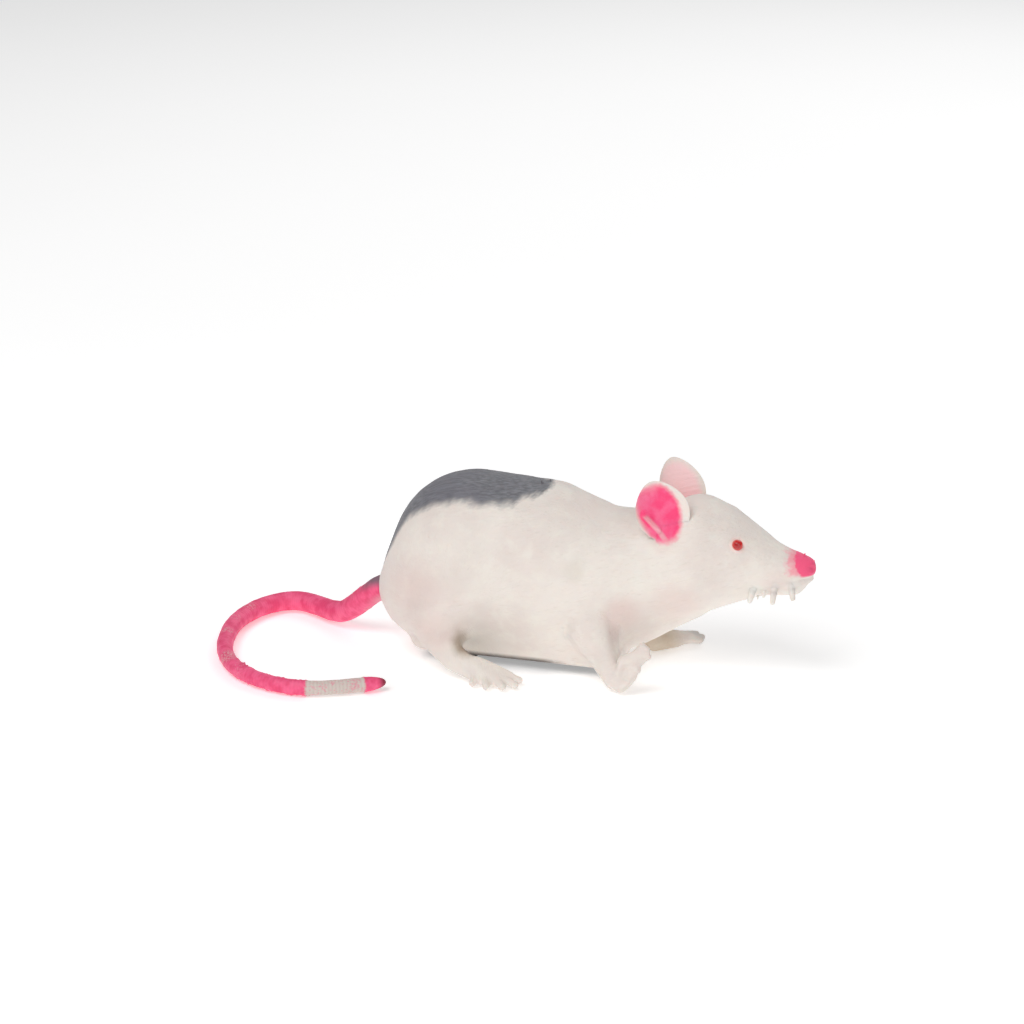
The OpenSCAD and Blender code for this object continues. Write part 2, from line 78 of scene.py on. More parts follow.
# %% Picking, joining and modifiers
def pick(*pieces):
    """Object mode, with only these pieces selected and the first one active."""
    if bpy.context.object and bpy.context.object.mode != "OBJECT":
        bpy.ops.object.mode_set(mode="OBJECT")
    bpy.ops.object.select_all(action="DESELECT")
    for piece in pieces:
        piece.select_set(True)
    if pieces:
        bpy.context.view_layer.objects.active = pieces[0]


def placed(name):
    """The new primitive, named, with its place, turn and size moved into its mesh."""
    piece = bpy.context.object
    bpy.ops.object.transform_apply(location=True, rotation=True, scale=True)
    piece.name = name
    piece.data.name = name
    return piece


def joined(pieces, name):
    """Several pieces as one object, each still a closed shell of its own."""
    pick(*pieces)
    if len(pieces) > 1:
        bpy.ops.object.join()
    return placed(name)


def modified(piece, kind, **settings):
    """Adds one modifier with its settings and applies it at once."""
    pick(piece)
    modifier = piece.modifiers.new(kind.title(), kind)
    for name, value in settings.items():
        setattr(modifier, name, value)
    bpy.ops.object.modifier_apply(modifier=modifier.name)
    return piece


print("nodes in the frame:", len(frame["nodes"]))

# %% [markdown]
# ## The shape of the rubber
# A vinyl or rubber toy animal is poured into a mould that a sculptor made. Its body is a run of
# soft bulges: rump, loin, chest, neck, head, muzzle and nose. Sculpting by hand is one way.
# Another is metaballs, but those drift in size. Here each bulge is a stretched sphere, each
# neighbouring pair is wrapped in a hull, and the lot is remeshed into one skin, so that the
# shape stays where the motor needs it.

# %% Spheres, wraps and limbs
def ball(place, radii, cuts=24):
    """A sphere primitive stretched to three radii, in millimetres."""
    pick()
    bpy.ops.mesh.primitive_uv_sphere_add(
        segments=2 * cuts, ring_count=cuts, radius=1,
        location=metres(place), scale=metres(radii))
    return placed("ball")


def wrapped(first, second):
    """The convex hull round two closed pieces, as a tight skin over both."""
    piece = joined([first, second], "wrap")
    bpy.ops.object.mode_set(mode="EDIT")
    bpy.ops.mesh.select_all(action="SELECT")
    bpy.ops.mesh.convex_hull()
    bpy.ops.object.mode_set(mode="OBJECT")
    return piece


def limb(start, start_radius, end, end_radius, cuts=10):
    """A round-ended limb that tapers from one sphere to another."""
    return wrapped(ball(start, [start_radius] * 3, cuts), ball(end, [end_radius] * 3, cuts))


def limb_chain(stations, cuts=10):
    """Limbs through a list of (place, radius) stations."""
    pairs = zip(stations, stations[1:])
    return [limb(a, ra, b, rb, cuts) for (a, ra), (b, rb) in pairs]


def mirrored(place, side):
    """The same place on the rat's left (side 1) or right (side -1)."""
    return (place[0], side * place[1], place[2])


# %% The run of bulges along the spine
# Each is (x, z) of the centre, then the radii along X, Y and Z.
SPINE = {
    "rump": (-35.8, 29.8, 25.8, 25.5, 26.8),
    "loin": (-14.0, 29.3, 22.0, 23.0, 26.3),
    "chest": (4.0, 27.4, 16.0, 19.5, 21.7),
    "neck": (19.0, 32.0, 12.0, 16.0, 17.4),
    "head": (33.0, 37.6, 13.0, 15.4, 17.9),
    "cheek": (41.5, 38.0, 7.0, 12.4, 15.2),
    "muzzle": (53.0, 35.6, 8.0, 8.5, 8.6),
    "snout": (61.0, 34.6, 5.6, 5.6, 6.8),
    "nose": (65.5, 36.2, 2.9, 3.3, 3.7),
}
HAUNCHES = (-40.7, 20.0, 25.1, 24.6, 18.0)


def bulge(station, shrink=0.0, cuts=24):
    """One station's stretched sphere, drawn in by a wall's thickness where asked."""
    x, z, rx, ry, rz = station
    return ball((x, 0, z), (rx - shrink, ry - shrink, rz - shrink), cuts)


def torso(stations, shrink=0.0, cuts=24):
    """Wraps round each neighbouring pair of stations."""
    pairs = zip(stations, stations[1:])
    return [wrapped(bulge(a, shrink, cuts), bulge(b, shrink, cuts)) for a, b in pairs]


print("stations:", ", ".join(SPINE))

# %% [markdown]
# The big forms are joined and remeshed first, and then smoothed hard, so that the bulges flow
# into each other the way a clay model is smoothed with a thumb. Small features would be lost
# in that, so the feet, ears and nose come in a second round.

# %% Big forms: torso, haunches, belly, thighs and shoulders
FLANGE_OVER = 2.0
plate_low, plate_high = (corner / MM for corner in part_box("base_plate"))
BELLY = {"back": plate_low.x + 1.6, "front": plate_high.x - 1,
    "half": plate_high.y - FLANGE_OVER, "radius": 4.0, "z": plate_low.z + 4}
# Stretched spheres as (place, radii): low flanks, breast, and the side in front of the hip.
LOW_FLANKS = [((-24, 0, 20), (24, 21.0, 15)), ((0, 0, 19.5), (13, 18.0, 13.5))]
BREAST = [((12, 0, 17.9), (11, 13, 11.5)), ((22, 0, 21.9), (9, 10, 9.8)),
    ((30.5, 0, 25.4), (8, 9, 8.4))]
HIP, HIP_RADIUS = (-38.5, 17.0, 21.5), 9.6
FLANK_SIDE = ((-27, 0, 26), (14, 24.4, 13))
THIGH = [((-40.6, 16.8, 17.4), 11.3), ((-43, 20.2, 10.8), 4.6), ((-35.3, 24.4, 6.0), 4.0)]
SHOULDER = {
    -1: [((5, -15, 17), 8), ((9.6, -19, 9.6), 4.6)],
    1: [((5, 14, 17), 8), ((11.5, 15.4, 9), 4.6)],
}


def belly_pad():
    """The flat-bottomed pad under the belly, which holds the base plate."""
    corners = [
        ball((x, y, BELLY["z"]), [BELLY["radius"]] * 3, 8)
        for x in (BELLY["back"], BELLY["front"]) for y in (-BELLY["half"], BELLY["half"])]
    return wrapped(joined(corners[:2], "pad"), joined(corners[2:], "pad"))


low_flanks = joined([ball(*form) for form in LOW_FLANKS], "flanks")
big_forms = torso(list(SPINE.values()))
big_forms.append(wrapped(bulge(SPINE["rump"]), bulge(HAUNCHES)))
big_forms.append(wrapped(belly_pad(), low_flanks))
big_forms += [wrapped(ball(*a), ball(*b)) for a, b in zip(BREAST, BREAST[1:])]
for side in SIDES:
    big_forms += limb_chain([(mirrored(p, side), r) for p, r in THIGH])
    hip = ball(mirrored(HIP, side), [HIP_RADIUS] * 3)
    big_forms.append(wrapped(hip, ball(*FLANK_SIDE)))
    big_forms += limb_chain(SHOULDER[side])
COARSE, FINE = 0.9, 0.64
rubber = joined(big_forms, "rubber_rat")
modified(rubber, "REMESH", mode="VOXEL", voxel_size=COARSE * MM)
modified(rubber, "SMOOTH", factor=0.5, iterations=14)
print("big forms:", len(rubber.data.polygons), "faces")

# %% [markdown]
# ## Paws
# A hind paw is a long low foot with slim toes, each with a knuckle. The right forepaw came out
# of the mould twisted, with its palm turned out, and the left one lies flat. A sole or a palm
# is a tight skin over a few balls. A toe is two short limbs with a slight bump between them, so
# the knuckle shows.

# %% Toes and feet
def toe(root, root_radius, tip, tip_radius):
    """One toe: a thin bone to a knuckle, then a round pad at the tip."""
    middle = Vector(root).lerp(Vector(tip), 0.55) + Vector((0, 0, 0.35))
    bone = 0.78 * root_radius
    return limb_chain([(root, root_radius), (middle, bone), (tip, tip_radius)], 8)


def slab(stations):
    """A flat hand or foot: the tight skin over balls at several (place, radius) stations."""
    balls = [ball(place, [radius] * 3, 10) for place, radius in stations]
    return wrapped(joined(balls[:-1], "slab"), balls[-1])


HIND_SOLE = [((-26.4, 25.4, 3.9), 3.0), ((-24.8, 29.8, 2.3), 1.8), ((-19.2, 30.2, 2.1), 1.6),
    ((-17.4, 26.4, 2.5), 1.9)]
PALM = [((16.6, -23.8, 10.4), 1.6), ((21.8, -23.2, 13.2), 1.4), ((19.4, -24.2, 6.0), 1.7),
    ((16.2, -24.2, 2.6), 2.1)]
HIND_TOES = [(-26.9, 32.3, 1.8), (-22.4, 33.4, 1.7), (-17.6, 32.6, 1.7), (-14.4, 30.2, 1.8),
    (-14.2, 26.4, 1.9)]
FORE_RIGHT_TOES = [(22.2, -22.2, 15.4), (23.8, -22.8, 14.5), (24.4, -23.4, 12.4),
    (21.6, -24.8, 8.4)]
FORE_LEFT_TOES = [(29, 22.4, 1.8), (28.8, 25.4, 1.7), (26.4, 27.7, 1.7), (22.4, 26.6, 1.7)]
SOLE_MIDDLE, PALM_MIDDLE = (-23.4, 27.2, 2.8), (19.2, -23.2, 9.4)
LEFT_PAD = (22.4, 18.8, 2.8)
RIGHT_WRIST = [((13.8, -22.6, 3.7), 3.0)]
LEFT_WRIST = [((16.8, 13.2, 3.8), 3.4), ((22.4, 18.8, 3), 2.7)]

small_forms = []
for side in SIDES:
    ankle = mirrored(THIGH[-1][0], side)
    middle = mirrored(SOLE_MIDDLE, side)
    small_forms.append(slab([(ankle, 3.9)] + [(mirrored(p, side), r) for p, r in HIND_SOLE]))
    for tip in HIND_TOES:
        root = Vector(middle).lerp(Vector(mirrored(tip, side)), 0.5)
        small_forms += toe(root, 1.5, mirrored(tip, side), 1.3)
small_forms += limb_chain(SHOULDER[-1][-1:] + RIGHT_WRIST)
small_forms.append(slab(PALM))
for tip in FORE_RIGHT_TOES:
    root = Vector(PALM_MIDDLE).lerp(Vector(tip), 0.55)
    small_forms += toe(root, 1.4, tip, 1.0)
small_forms += limb_chain(SHOULDER[1][-1:] + LEFT_WRIST)
for tip in FORE_LEFT_TOES:
    small_forms += toe(LEFT_PAD, 2.0, tip, 1.2)
print("foot pieces:", len(small_forms))

# %% [markdown]
# ## Ears
# An ear is a thin leaf of rubber, cupped outwards, with a thick rolled rim and a fold low at its
# root, and it is turned a little about the line that points out of its cup. It starts as a
# sphere, whose points are then moved on to the cup's wall, which is easier on a sphere's own
# rings than cutting one solid out of another.

# %% The ear's frame and its cup
EAR = {"x": 24.8, "y": 11.4, "z": 53.3, "long": 10.0, "wide": 7.9}
EAR_TURN = math.radians(75)
EAR_TILT = math.radians(88)
EAR_ROLL = math.radians(22)
CUP_DEPTH, CUP_RISE = 1.5, 2.3
# The ends of the fold's ridge, in shares of the ear's two radii.
FOLD_START, FOLD_END = Vector((-0.08, -0.67)), Vector((0.76, -0.27))


def ear_axes(side):
    """The ear's own axes: down its length, forward across it, and out of its cup."""
    turn = Matrix.Rotation(side * EAR_TURN, 3, "Z") @ Matrix.Rotation(EAR_TILT, 3, "Y")
    down, forward, out = turn.col
    forward = forward * -side
    rolled = down * math.cos(EAR_ROLL) + forward * math.sin(EAR_ROLL)
    return rolled, forward * math.cos(EAR_ROLL) - down * math.sin(EAR_ROLL), out


def cup_height(u, v):
    """Middle of the ear's wall, in mm, for a place given in shares of the ear's two radii."""
    return -CUP_DEPTH + CUP_RISE * min(1.0, u * u + v * v)


def ear(side):
    """A cupped leaf with a thick front rim and a fold by its root."""
    leaf = ball((0, 0, 0), (1, 1, 1), 40)
    down, forward, out = ear_axes(side)
    centre = Vector((EAR["x"], side * EAR["y"], EAR["z"]))
    fold = FOLD_END - FOLD_START
    for vertex in leaf.data.vertices:
        u, v, w = vertex.co / MM
        narrow = 1.0 - 0.26 * u * u
        rim_roll = 0.5 * max(0.0, v) ** 2
        thickness = 0.55 + rim_roll
        height = cup_height(u, v) + thickness * w
        if w > 0:
            from_start = Vector((u, v)) - FOLD_START
            share = max(0.0, min(1.0, from_start.dot(fold) / fold.length_squared))
            gap = (from_start - share * fold).length
            height += math.exp(-(gap / 0.10) ** 2)
        along_ear = down * (u * EAR["long"])
        across_ear = forward * (v * narrow * EAR["wide"])
        vertex.co = (centre + along_ear + across_ear + out * height) * MM
    leaf.data.update()
    pick(leaf)
    bpy.ops.object.mode_set(mode="EDIT")
    bpy.ops.mesh.select_all(action="SELECT")
    bpy.ops.mesh.normals_make_consistent(inside=False)
    bpy.ops.object.mode_set(mode="OBJECT")
    return leaf


EAR_ROOT = [((25.6, 10.6, 44.0), 3.6), ((25.6, 9.8, 48.0), 1.6)]
late_forms = [ear(side) for side in SIDES]
for side in SIDES:
    small_forms += limb_chain([(mirrored(p, side), r) for p, r in EAR_ROOT])
print("ear length in mm:", 2 * EAR["long"])

# %% [markdown]
# ## Snout, lip and whisker stubs
# The whiskers are short soft cones that hang from the lips like icicles: a mould can't make
# hairs. The nose is put back at its full size, because smoothing has worn it down.

# %% Snout pieces
WHISKERS = [((51.6, 6.0, 32.6), 1.5, (50.9, 9.2, 27.8), 0.8),
    ((57.3, 4.8, 32.4), 1.5, (57.4, 8.0, 27.5), 0.8),
    ((61.7, 3.5, 33.2), 1.4, (63.0, 6.2, 28.7), 0.78)]
MID_WHISKER = 1.05
LIP = [((65.6, 0, 33.6), 1.9), ((67.2, 0, 33.4), 0.9)]
CHIN = [((60.0, 0, 31.4), 3.6), ((63.2, 0, 30.4), 1.8)]
SHORT_WHISKER = [((54.4, 5.4, 30.6), 1.0), ((54.4, 6.6, 28.6), 0.5)]
small_forms += torso([SPINE["snout"], SPINE["nose"]])
small_forms += limb_chain(LIP)
small_forms += limb_chain(CHIN)
for side in SIDES:
    for root, root_radius, tip, tip_radius in WHISKERS:
        middle = Vector(root).lerp(Vector(tip), 0.5)
        stations = [(root, root_radius), (middle, MID_WHISKER), (tip, tip_radius)]
        late_forms += limb_chain([(mirrored(p, side), r) for p, r in stations], 8)
        small_forms.append(ball(mirrored(root, side), [root_radius + 0.5] * 3, 8))
    late_forms += limb_chain([(mirrored(p, side), r) for p, r in SHORT_WHISKER], 6)
rubber = joined([rubber] + small_forms, "rubber_rat")
modified(rubber, "REMESH", mode="VOXEL", voxel_size=FINE * MM)
modified(rubber, "SMOOTH", factor=0.5, iterations=3)
print("one rubber skin:", len(rubber.data.polygons), "faces")

# %% [markdown]
# ## Folds, nostrils and lips
# A sculptor presses these in with a tool. In code, a press is a list of points, a width and a
# depth: each vertex near the line moves along its own normal, most on the line itself.

# %% Pressing lines into the rubber
def gaps_to_line(points, line):
    """Distance from each point to a line through several places, all in millimetres."""
    best = np.full(len(points), 1e9)
    for a, b in zip(line, line[1:]):
        a, b = np.array(a, float), np.array(b, float)
        span = b - a
        share = np.clip(((points - a) @ span) / (span @ span), 0, 1)
        best = np.minimum(best, np.linalg.norm(points - a - share[:, None] * span, axis=1))
    return best


def points_of(piece):
    """Every vertex of a piece, in millimetres."""
    points = np.empty(3 * len(piece.data.vertices))
    piece.data.vertices.foreach_get("co", points)
    return points.reshape(-1, 3) / MM


def raised(piece, heights):
    """Moves each vertex out along its normal by its own height in millimetres."""
    normals = np.empty(3 * len(piece.data.vertices))
    piece.data.vertex_normals.foreach_get("vector", normals)
    points = points_of(piece) + normals.reshape(-1, 3) * heights[:, None]
    piece.data.vertices.foreach_set("co", (points * MM).ravel())
    piece.data.update()


def pressed(piece, lines, width, depth):
    """Presses the surface in beside these lines; a negative depth raises it."""
    points = points_of(piece)
    fall = np.zeros(len(points))
    for line in lines:
        fall = np.maximum(fall, np.exp(-(gaps_to_line(points, line) / width) ** 2))
    raised(piece, -depth * fall)


def both_sides(line):
    """A line on the left flank and its mirror image on the right."""
    return [[mirrored(p, side) for p in line] for side in SIDES]


EYE = (46.9, 9.2, 44.6)
# Each is a line, the press's width and its depth in mm; a negative depth raises a ridge.
FOLDS = {
    "groin": ([(-33, 24.2, 15), (-30, 24.6, 10.2), (-27.5, 20, 6.8)], 2.2, 1.0),
    "foreleg": ([(10.2, 17.2, 23), (12.2, 18.6, 17), (13.2, 19.6, 13.4)], 1.6, 0.55),
    "neck": ([(16.8, 14.2, 53.2), (15.6, 16.4, 46), (17.5, 16.6, 38)], 2.6, 0.5),
    "mouth": ([(68.6, 0, 34.0), (66.2, 3.2, 33.8), (62.5, 5.2, 33.4), (57, 6.6, 33.2)],
        0.7, 0.55),
    "nostril": ([(68.1, 1.5, 37.0), (67.3, 2.5, 37.4)], 0.6, 0.75),
    "brow": ([(44.6, 9.8, 47.2), (47.4, 8.4, 47.2), (49.6, 7.8, 45.4)], 0.9, -0.35),
    "lower eyelid": ([(44.4, 10, 43.2), (46.8, 9.4, 41.9), (49.4, 8.2, 42.8)], 0.9, -0.2),
    "before the ear": ([(30.4, 15.2, 48.4), (31.2, 15.4, 44)], 0.9, 0.3),
}
PALM_HOLLOW = [(16.4, -26.0, 6.2), (17.6, -25.6, 8.6)]
PALM_PADS = [[(20.2, -25.2, 10.6), (20.4, -25.2, 10.8)], [(18.8, -25.8, 5.0), (19.0, -25.8, 5.2)]]
for line, width, depth in FOLDS.values():
    pressed(rubber, both_sides(line), width, depth)
pressed(rubber, [PALM_HOLLOW], 1.1, 1.0)
pressed(rubber, PALM_PADS, 0.9, -0.4)
print("pressed folds in", len(rubber.data.vertices), "points")

# %% [markdown]
# Nothing about a cheap rubber moulding is quite smooth. A very shallow wave, a few tenths of a
# millimetre deep, breaks the highlights the way hand-filled moulds do. It fades out at the belly,
# where the base plate has to fit.

# %% A slow wave over the whole skin
def wave(points, spread):
    """Smooth noise at each point, with bumps about this many millimetres apart."""
    return np.array([noise.noise(Vector(p) / spread) for p in points])


rubber_points = points_of(rubber)
fade = np.clip((rubber_points[:, 2] - 5.0) / 6.0, 0, 1)
raised(rubber, (0.34 * wave(rubber_points, 11.8) + 0.10 * wave(rubber_points, 3.2)) * fade)
print("highest point in mm:", round(points_of(rubber)[:, 2].max(), 2))

# %% [markdown]
# ## Hollowing it
# The skin is about 2.2 mm thick round the motor. The hollow is the same run of bulges, each
# drawn in by the wall, cut off flat above the base plate. It is subtracted, and so are the
# opening in the belly, the dome over the castor, the key's hole and the two eye sockets. The
# boss that holds the tail stays solid.

# %% The cutters
def block(low, high):
    """A box between two corners in millimetres."""
    pick()
    middle = [(a + b) / 2 for a, b in zip(low, high)]
    size = [b - a for a, b in zip(low, high)]
    bpy.ops.mesh.primitive_cube_add(size=1, location=metres(middle), scale=metres(size))
    return placed("block")


def rod(place, radius, length, turn=(0, 0, 0), sides=48):
    """A cylinder about its middle, in millimetres, along Z unless it is turned."""
    pick()
    bpy.ops.mesh.primitive_cylinder_add(vertices=sides, radius=radius * MM,
        depth=length * MM, location=metres(place), rotation=turn)
    return placed("rod")


def cut(piece, tool, operation="DIFFERENCE"):
    """Subtracts one closed piece from another, and removes the tool."""
    modified(piece, "BOOLEAN", object=tool, operation=operation, solver="MANIFOLD")
    bpy.data.objects.remove(tool)


WALL = 2.2
PLATE_MID = 4.7
PLATE_FIT = 0.2
joint_place = {joint["name"]: Vector(joint["pos_m"]) / MM for joint in frame["joints"]}
key_place = joint_place["key_turn"]
castor_place = joint_place["castor_swivel"]
ALONG_Y = (math.pi / 2, 0, 0)
TAIL_PIVOT = (-61, 0, 17)
TAIL_BOSS = 7.2
DOME_RADIUS, DOME_HEIGHT = 9.7, 9.4
KEY_HOLE = 2.9
EYE_SOCKET = 1.52
FLOOR_GAP = 0.3

hollow = joined(torso(list(SPINE.values())[:8], WALL, 14) + [bulge(HAUNCHES, WALL, 14)], "hollow")
modified(hollow, "REMESH", mode="VOXEL", voxel_size=1.8 * MM)
pick(hollow)
bpy.ops.object.mode_set(mode="EDIT")
bpy.ops.mesh.select_all(action="SELECT")
bpy.ops.mesh.bisect(plane_co=metres((0, 0, PLATE_MID)), plane_no=(0, 0, 1), use_fill=True,
    clear_inner=True)
bpy.ops.object.mode_set(mode="OBJECT")
cut(hollow, ball(TAIL_PIVOT, [TAIL_BOSS] * 3, 12))
print("hollow:", len(hollow.data.polygons), "faces")

# %% Cutting the hollow, the belly opening, the key hole and the eye sockets
def plate_opening(grow, low, high):
    """A box round the base plate, grown sideways by this much, between two heights."""
    return block((plate_low.x - grow, plate_low.y - grow, low),
        (plate_high.x + grow, plate_high.y + grow, high))


cut(rubber, hollow)
cut(rubber, plate_opening(PLATE_FIT, PLATE_MID, PLATE_MID + 5))
cut(rubber, plate_opening(PLATE_FIT / 2 - FLANGE_OVER, -1, PLATE_MID + 1))
dome_middle = (castor_place.x, 0, PLATE_MID + DOME_HEIGHT / 2)
cut(rubber, rod(dome_middle, DOME_RADIUS, DOME_HEIGHT))
cut(rubber, rod((key_place.x, 25, key_place.z), KEY_HOLE, 30, ALONG_Y))
for side in SIDES:
    cut(rubber, ball(mirrored(EYE, side), [EYE_SOCKET] * 3, 12))
cut(rubber, block((-120, -60, -20), (120, 60, FLOOR_GAP)))
print("hollow skin:", sum(len(p.vertices) - 2 for p in rubber.data.polygons), "triangles")

# %% [markdown]
# Tiny nubs of flash stand on the skin where the mould's vents were: on the back at the front of
# the grey patch, and on the nose. They are too small for the remesh, and the thin ears and
# whiskers would come out ragged from it, so all of these are joined on afterwards, with their
# roots inside the rubber.

# %% Nubs of flash
NUBS = [((-12.6, 1.0, 54.6), (-12.9, 1.2, 56.0)), ((-14.6, -1.0, 55.0), (-15.0, -1.2, 56.3)),
    ((64.8, -0.4, 39.6), (65.1, -0.6, 41.0)), ((67.2, -0.6, 38.2), (68.0, -0.8, 39.1)),
    ((52.4, -4.6, 28.4), (52.4, -5.4, 27.1)), ((41.0, -3.6, 24.8), (41.2, -4.2, 23.6))]
nubs = []
for root, tip in NUBS:
    nubs += limb_chain([(root, 0.42), (tip, 0.16)], 4)
rubber = joined([rubber] + late_forms + nubs, "rubber_rat")
pick(rubber)
bpy.ops.object.shade_smooth_by_angle(angle=math.radians(50))
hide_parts("body_skin")
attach(rubber, "shell")
print("rubber_rat box in mm:", [round(d / MM, 1) for d in rubber.dimensions])

# %% [markdown]
# ## The tail
# The tail is a solid tapered moulding, not a cord: it has the curl that the mould gave it, and
# it keeps that curl. It has fine rings across, like a real rat's tail. A curve with a round
# bevel sweeps the tube at a radius for each point, and is then turned into a mesh, so each of
# its cross rings can be swelled or pinched in turn. Its middle run is drawn a little slim and
# low, so that the roughness put on later stays within the plain tail's own box.

# %% The tail's route, sampled by arc length
TAIL_ROUTE = [TAIL_PIVOT, (-66, 0.2, 16.8), (-71, 1.2, 13.3), (-76, 3.2, 9), (-81, 6, 5.5),
    (-86, 9, 4.2), (-92.5, 12.8, 4), (-98.6, 15.2, 3.9), (-104, 13.8, 3.8), (-108.6, 8.4, 3.6),
    (-111, 0.4, 3.6), (-111.5, -9, 3.5), (-109.7, -19.5, 3.4), (-106.3, -29.8, 3.4),
    (-101.3, -38.6, 3.3), (-95.2, -45.2, 3.2), (-88, -49.8, 3.1), (-80, -52.4, 3),
    (-71.8, -52.4, 2.9), (-63.6, -49.2, 2.8), (-57, -45.2, 2.7), (-50.8, -41, 2.7)]
ROOT_RADIUS, TIP_RADIUS = 3.7, 2.3
RING_STEP = 0.32
SCALE_RING = 1.05


def smooth_route(points, cuts):
    """A Catmull-Rom line through the points."""
    points = [np.array(p, float) for p in points]
    padded = [points[0]] + points + [points[-1]]
    line = []
    for a, b, c, d in zip(padded, padded[1:], padded[2:], padded[3:]):
        for t in np.arange(cuts) / cuts:
            line.append((2 * b + (c - a) * t + (2 * a - 5 * b + 4 * c - d) * t ** 2
                + (3 * b - a - 3 * c + d) * t ** 3) / 2)
    return np.array(line + [points[-1]])


fine = smooth_route(TAIL_ROUTE, 40)
reach = np.concatenate([[0], np.cumsum(np.linalg.norm(np.diff(fine, axis=0), axis=1))])
tail_length = float(reach[-1])
ring_count = int(tail_length / RING_STEP)
ring_reach = np.linspace(0, tail_length, ring_count)
centres = np.stack([np.interp(ring_reach, reach, fine[:, k]) for k in range(3)], axis=1)


def reach_near(x, y):
    """How far along the tail, in mm from its pivot, the route passes closest to (x, y)."""
    gaps = np.hypot(centres[:, 0] - x, centres[:, 1] - y)
    return float(ring_reach[int(np.argmin(gaps))])


print("tail length along its middle in mm:", round(tail_length, 1), "rings:", ring_count)

# %% Ring sizes: taper, scale rings and the raised edge of the coat
BARE_START = reach_near(-71.5, -52.4)
BARE_END = reach_near(-56.2, -44.8)
share = ring_reach / tail_length
radius = ROOT_RADIUS + (TIP_RADIUS - ROOT_RADIUS) * share
radius = radius + 0.25 * np.exp(-((ring_reach - 4.5) / 3.0) ** 2)
SLIMMER, RING_DEPTH, COAT_LIFT, BARE_SUNK = 0.40, 0.03, 0.16, 0.10
slimmer = SLIMMER * np.sin(math.pi * np.clip(share * 1.12 - 0.12, 0, 1)) ** 0.7
radius = radius - slimmer
centres[:, 2] -= slimmer
radius = radius - RING_DEPTH * (1 - np.cos(2 * np.pi * ring_reach / SCALE_RING)) / 2
coat_edge = np.exp(-((ring_reach - BARE_START) / 0.5) ** 2)
coat_edge += np.exp(-((ring_reach - BARE_END) / 0.5) ** 2)
inside_bare = (ring_reach > BARE_START) & (ring_reach < BARE_END)
radius = radius + COAT_LIFT * coat_edge - BARE_SUNK * inside_bare
to_tip = tail_length - ring_reach
TIP_TAPER = 6.5
blunt = np.clip(to_tip / TIP_TAPER, 0, 1)
radius = radius * np.sqrt(1 - (1 - blunt) ** 2 * 0.985)
print("bare band from", round(BARE_START, 1), "to", round(BARE_END, 1), "mm")

# %% Sweeping the tube
TAIL_SIDES = 28
pick()
bpy.ops.curve.primitive_nurbs_path_add()
sweep = bpy.context.object
sweep.location = (0, 0, 0)
curve = sweep.data
curve.splines.clear()
spline = curve.splines.new("POLY")
spline.points.add(ring_count - 1)
for point, centre, thick in zip(spline.points, centres, radius):
    point.co = (*(centre * MM), 1)
    point.radius = float(thick)
curve.dimensions = "3D"
curve.twist_mode = "Z_UP"
curve.bevel_depth = MM
curve.bevel_resolution = (TAIL_SIDES - 4) // 2
curve.use_fill_caps = True
bpy.ops.object.convert(target="MESH")
tail = placed("tail_rubber")
print("swept:", len(tail.data.vertices), "points for", ring_count, "rings")

# %% [markdown]
# The paint on the tail follows its length and its top and bottom, so each vertex keeps how far
# along it lies and how high round its ring. The same pass roughs up the surface: short ragged
# nubs stand on the edge where the rubber was torn from the mould.

# %% Marking and roughing the tail
tail_points = points_of(tail)
owner = np.array([int(np.argmin(((centres - p) ** 2).sum(1))) for p in tail_points])
spokes = tail_points - centres[owner]
spoke_length = np.maximum(np.linalg.norm(spokes, axis=1), 1e-6)
height_share = spokes[:, 2] / spoke_length
along = ring_reach[owner]
ragged = np.zeros(len(tail_points))
# Each is a place beside the tail, how far it spreads along it and how strong its nubs are.
RAGGED_RUNS = [((-94, -46), 7.0, 0.55), ((-104, -34), 9.0, 0.22), ((-79, -52.5), 9.0, 0.30),
    ((-73, 2), 5.0, 0.20)]
for (x, y), spread, lift in RAGGED_RUNS:
    near = np.exp(-((along - reach_near(x, y)) / spread) ** 2)
    ragged = np.maximum(ragged, lift * near)
spike = np.maximum(0, wave(tail_points, 0.87) - 0.16) * 2.4 * ragged
spike = spike * (0.25 + 0.75 * height_share ** 2)
swell = 0.10 * wave(tail_points, 2.9) + 0.035 * wave(tail_points, 0.5)
ends = np.clip(to_tip[owner] / 2.0, 0, 1)
outwards = spokes / spoke_length[:, None]
tail_points = tail_points + outwards * ((spike + swell) * ends)[:, None]
tail.data.vertices.foreach_set("co", (tail_points * MM).ravel())
for name, values in [("along", along), ("height", height_share)]:
    tail.data.attributes.new(name, "FLOAT", "POINT").data.foreach_set("value", values)
tail.data.update()
pick(tail)
bpy.ops.object.shade_smooth()
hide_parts("tail")
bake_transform(tail)
print("tail faces:", len(tail.data.polygons))

# %% [markdown]
# ## A small language for shaders
# A material is a graph of nodes. Written out as links it is hard to read, so one class wraps a
# socket and lets Python's own signs add Math nodes, and one method adds any other node.

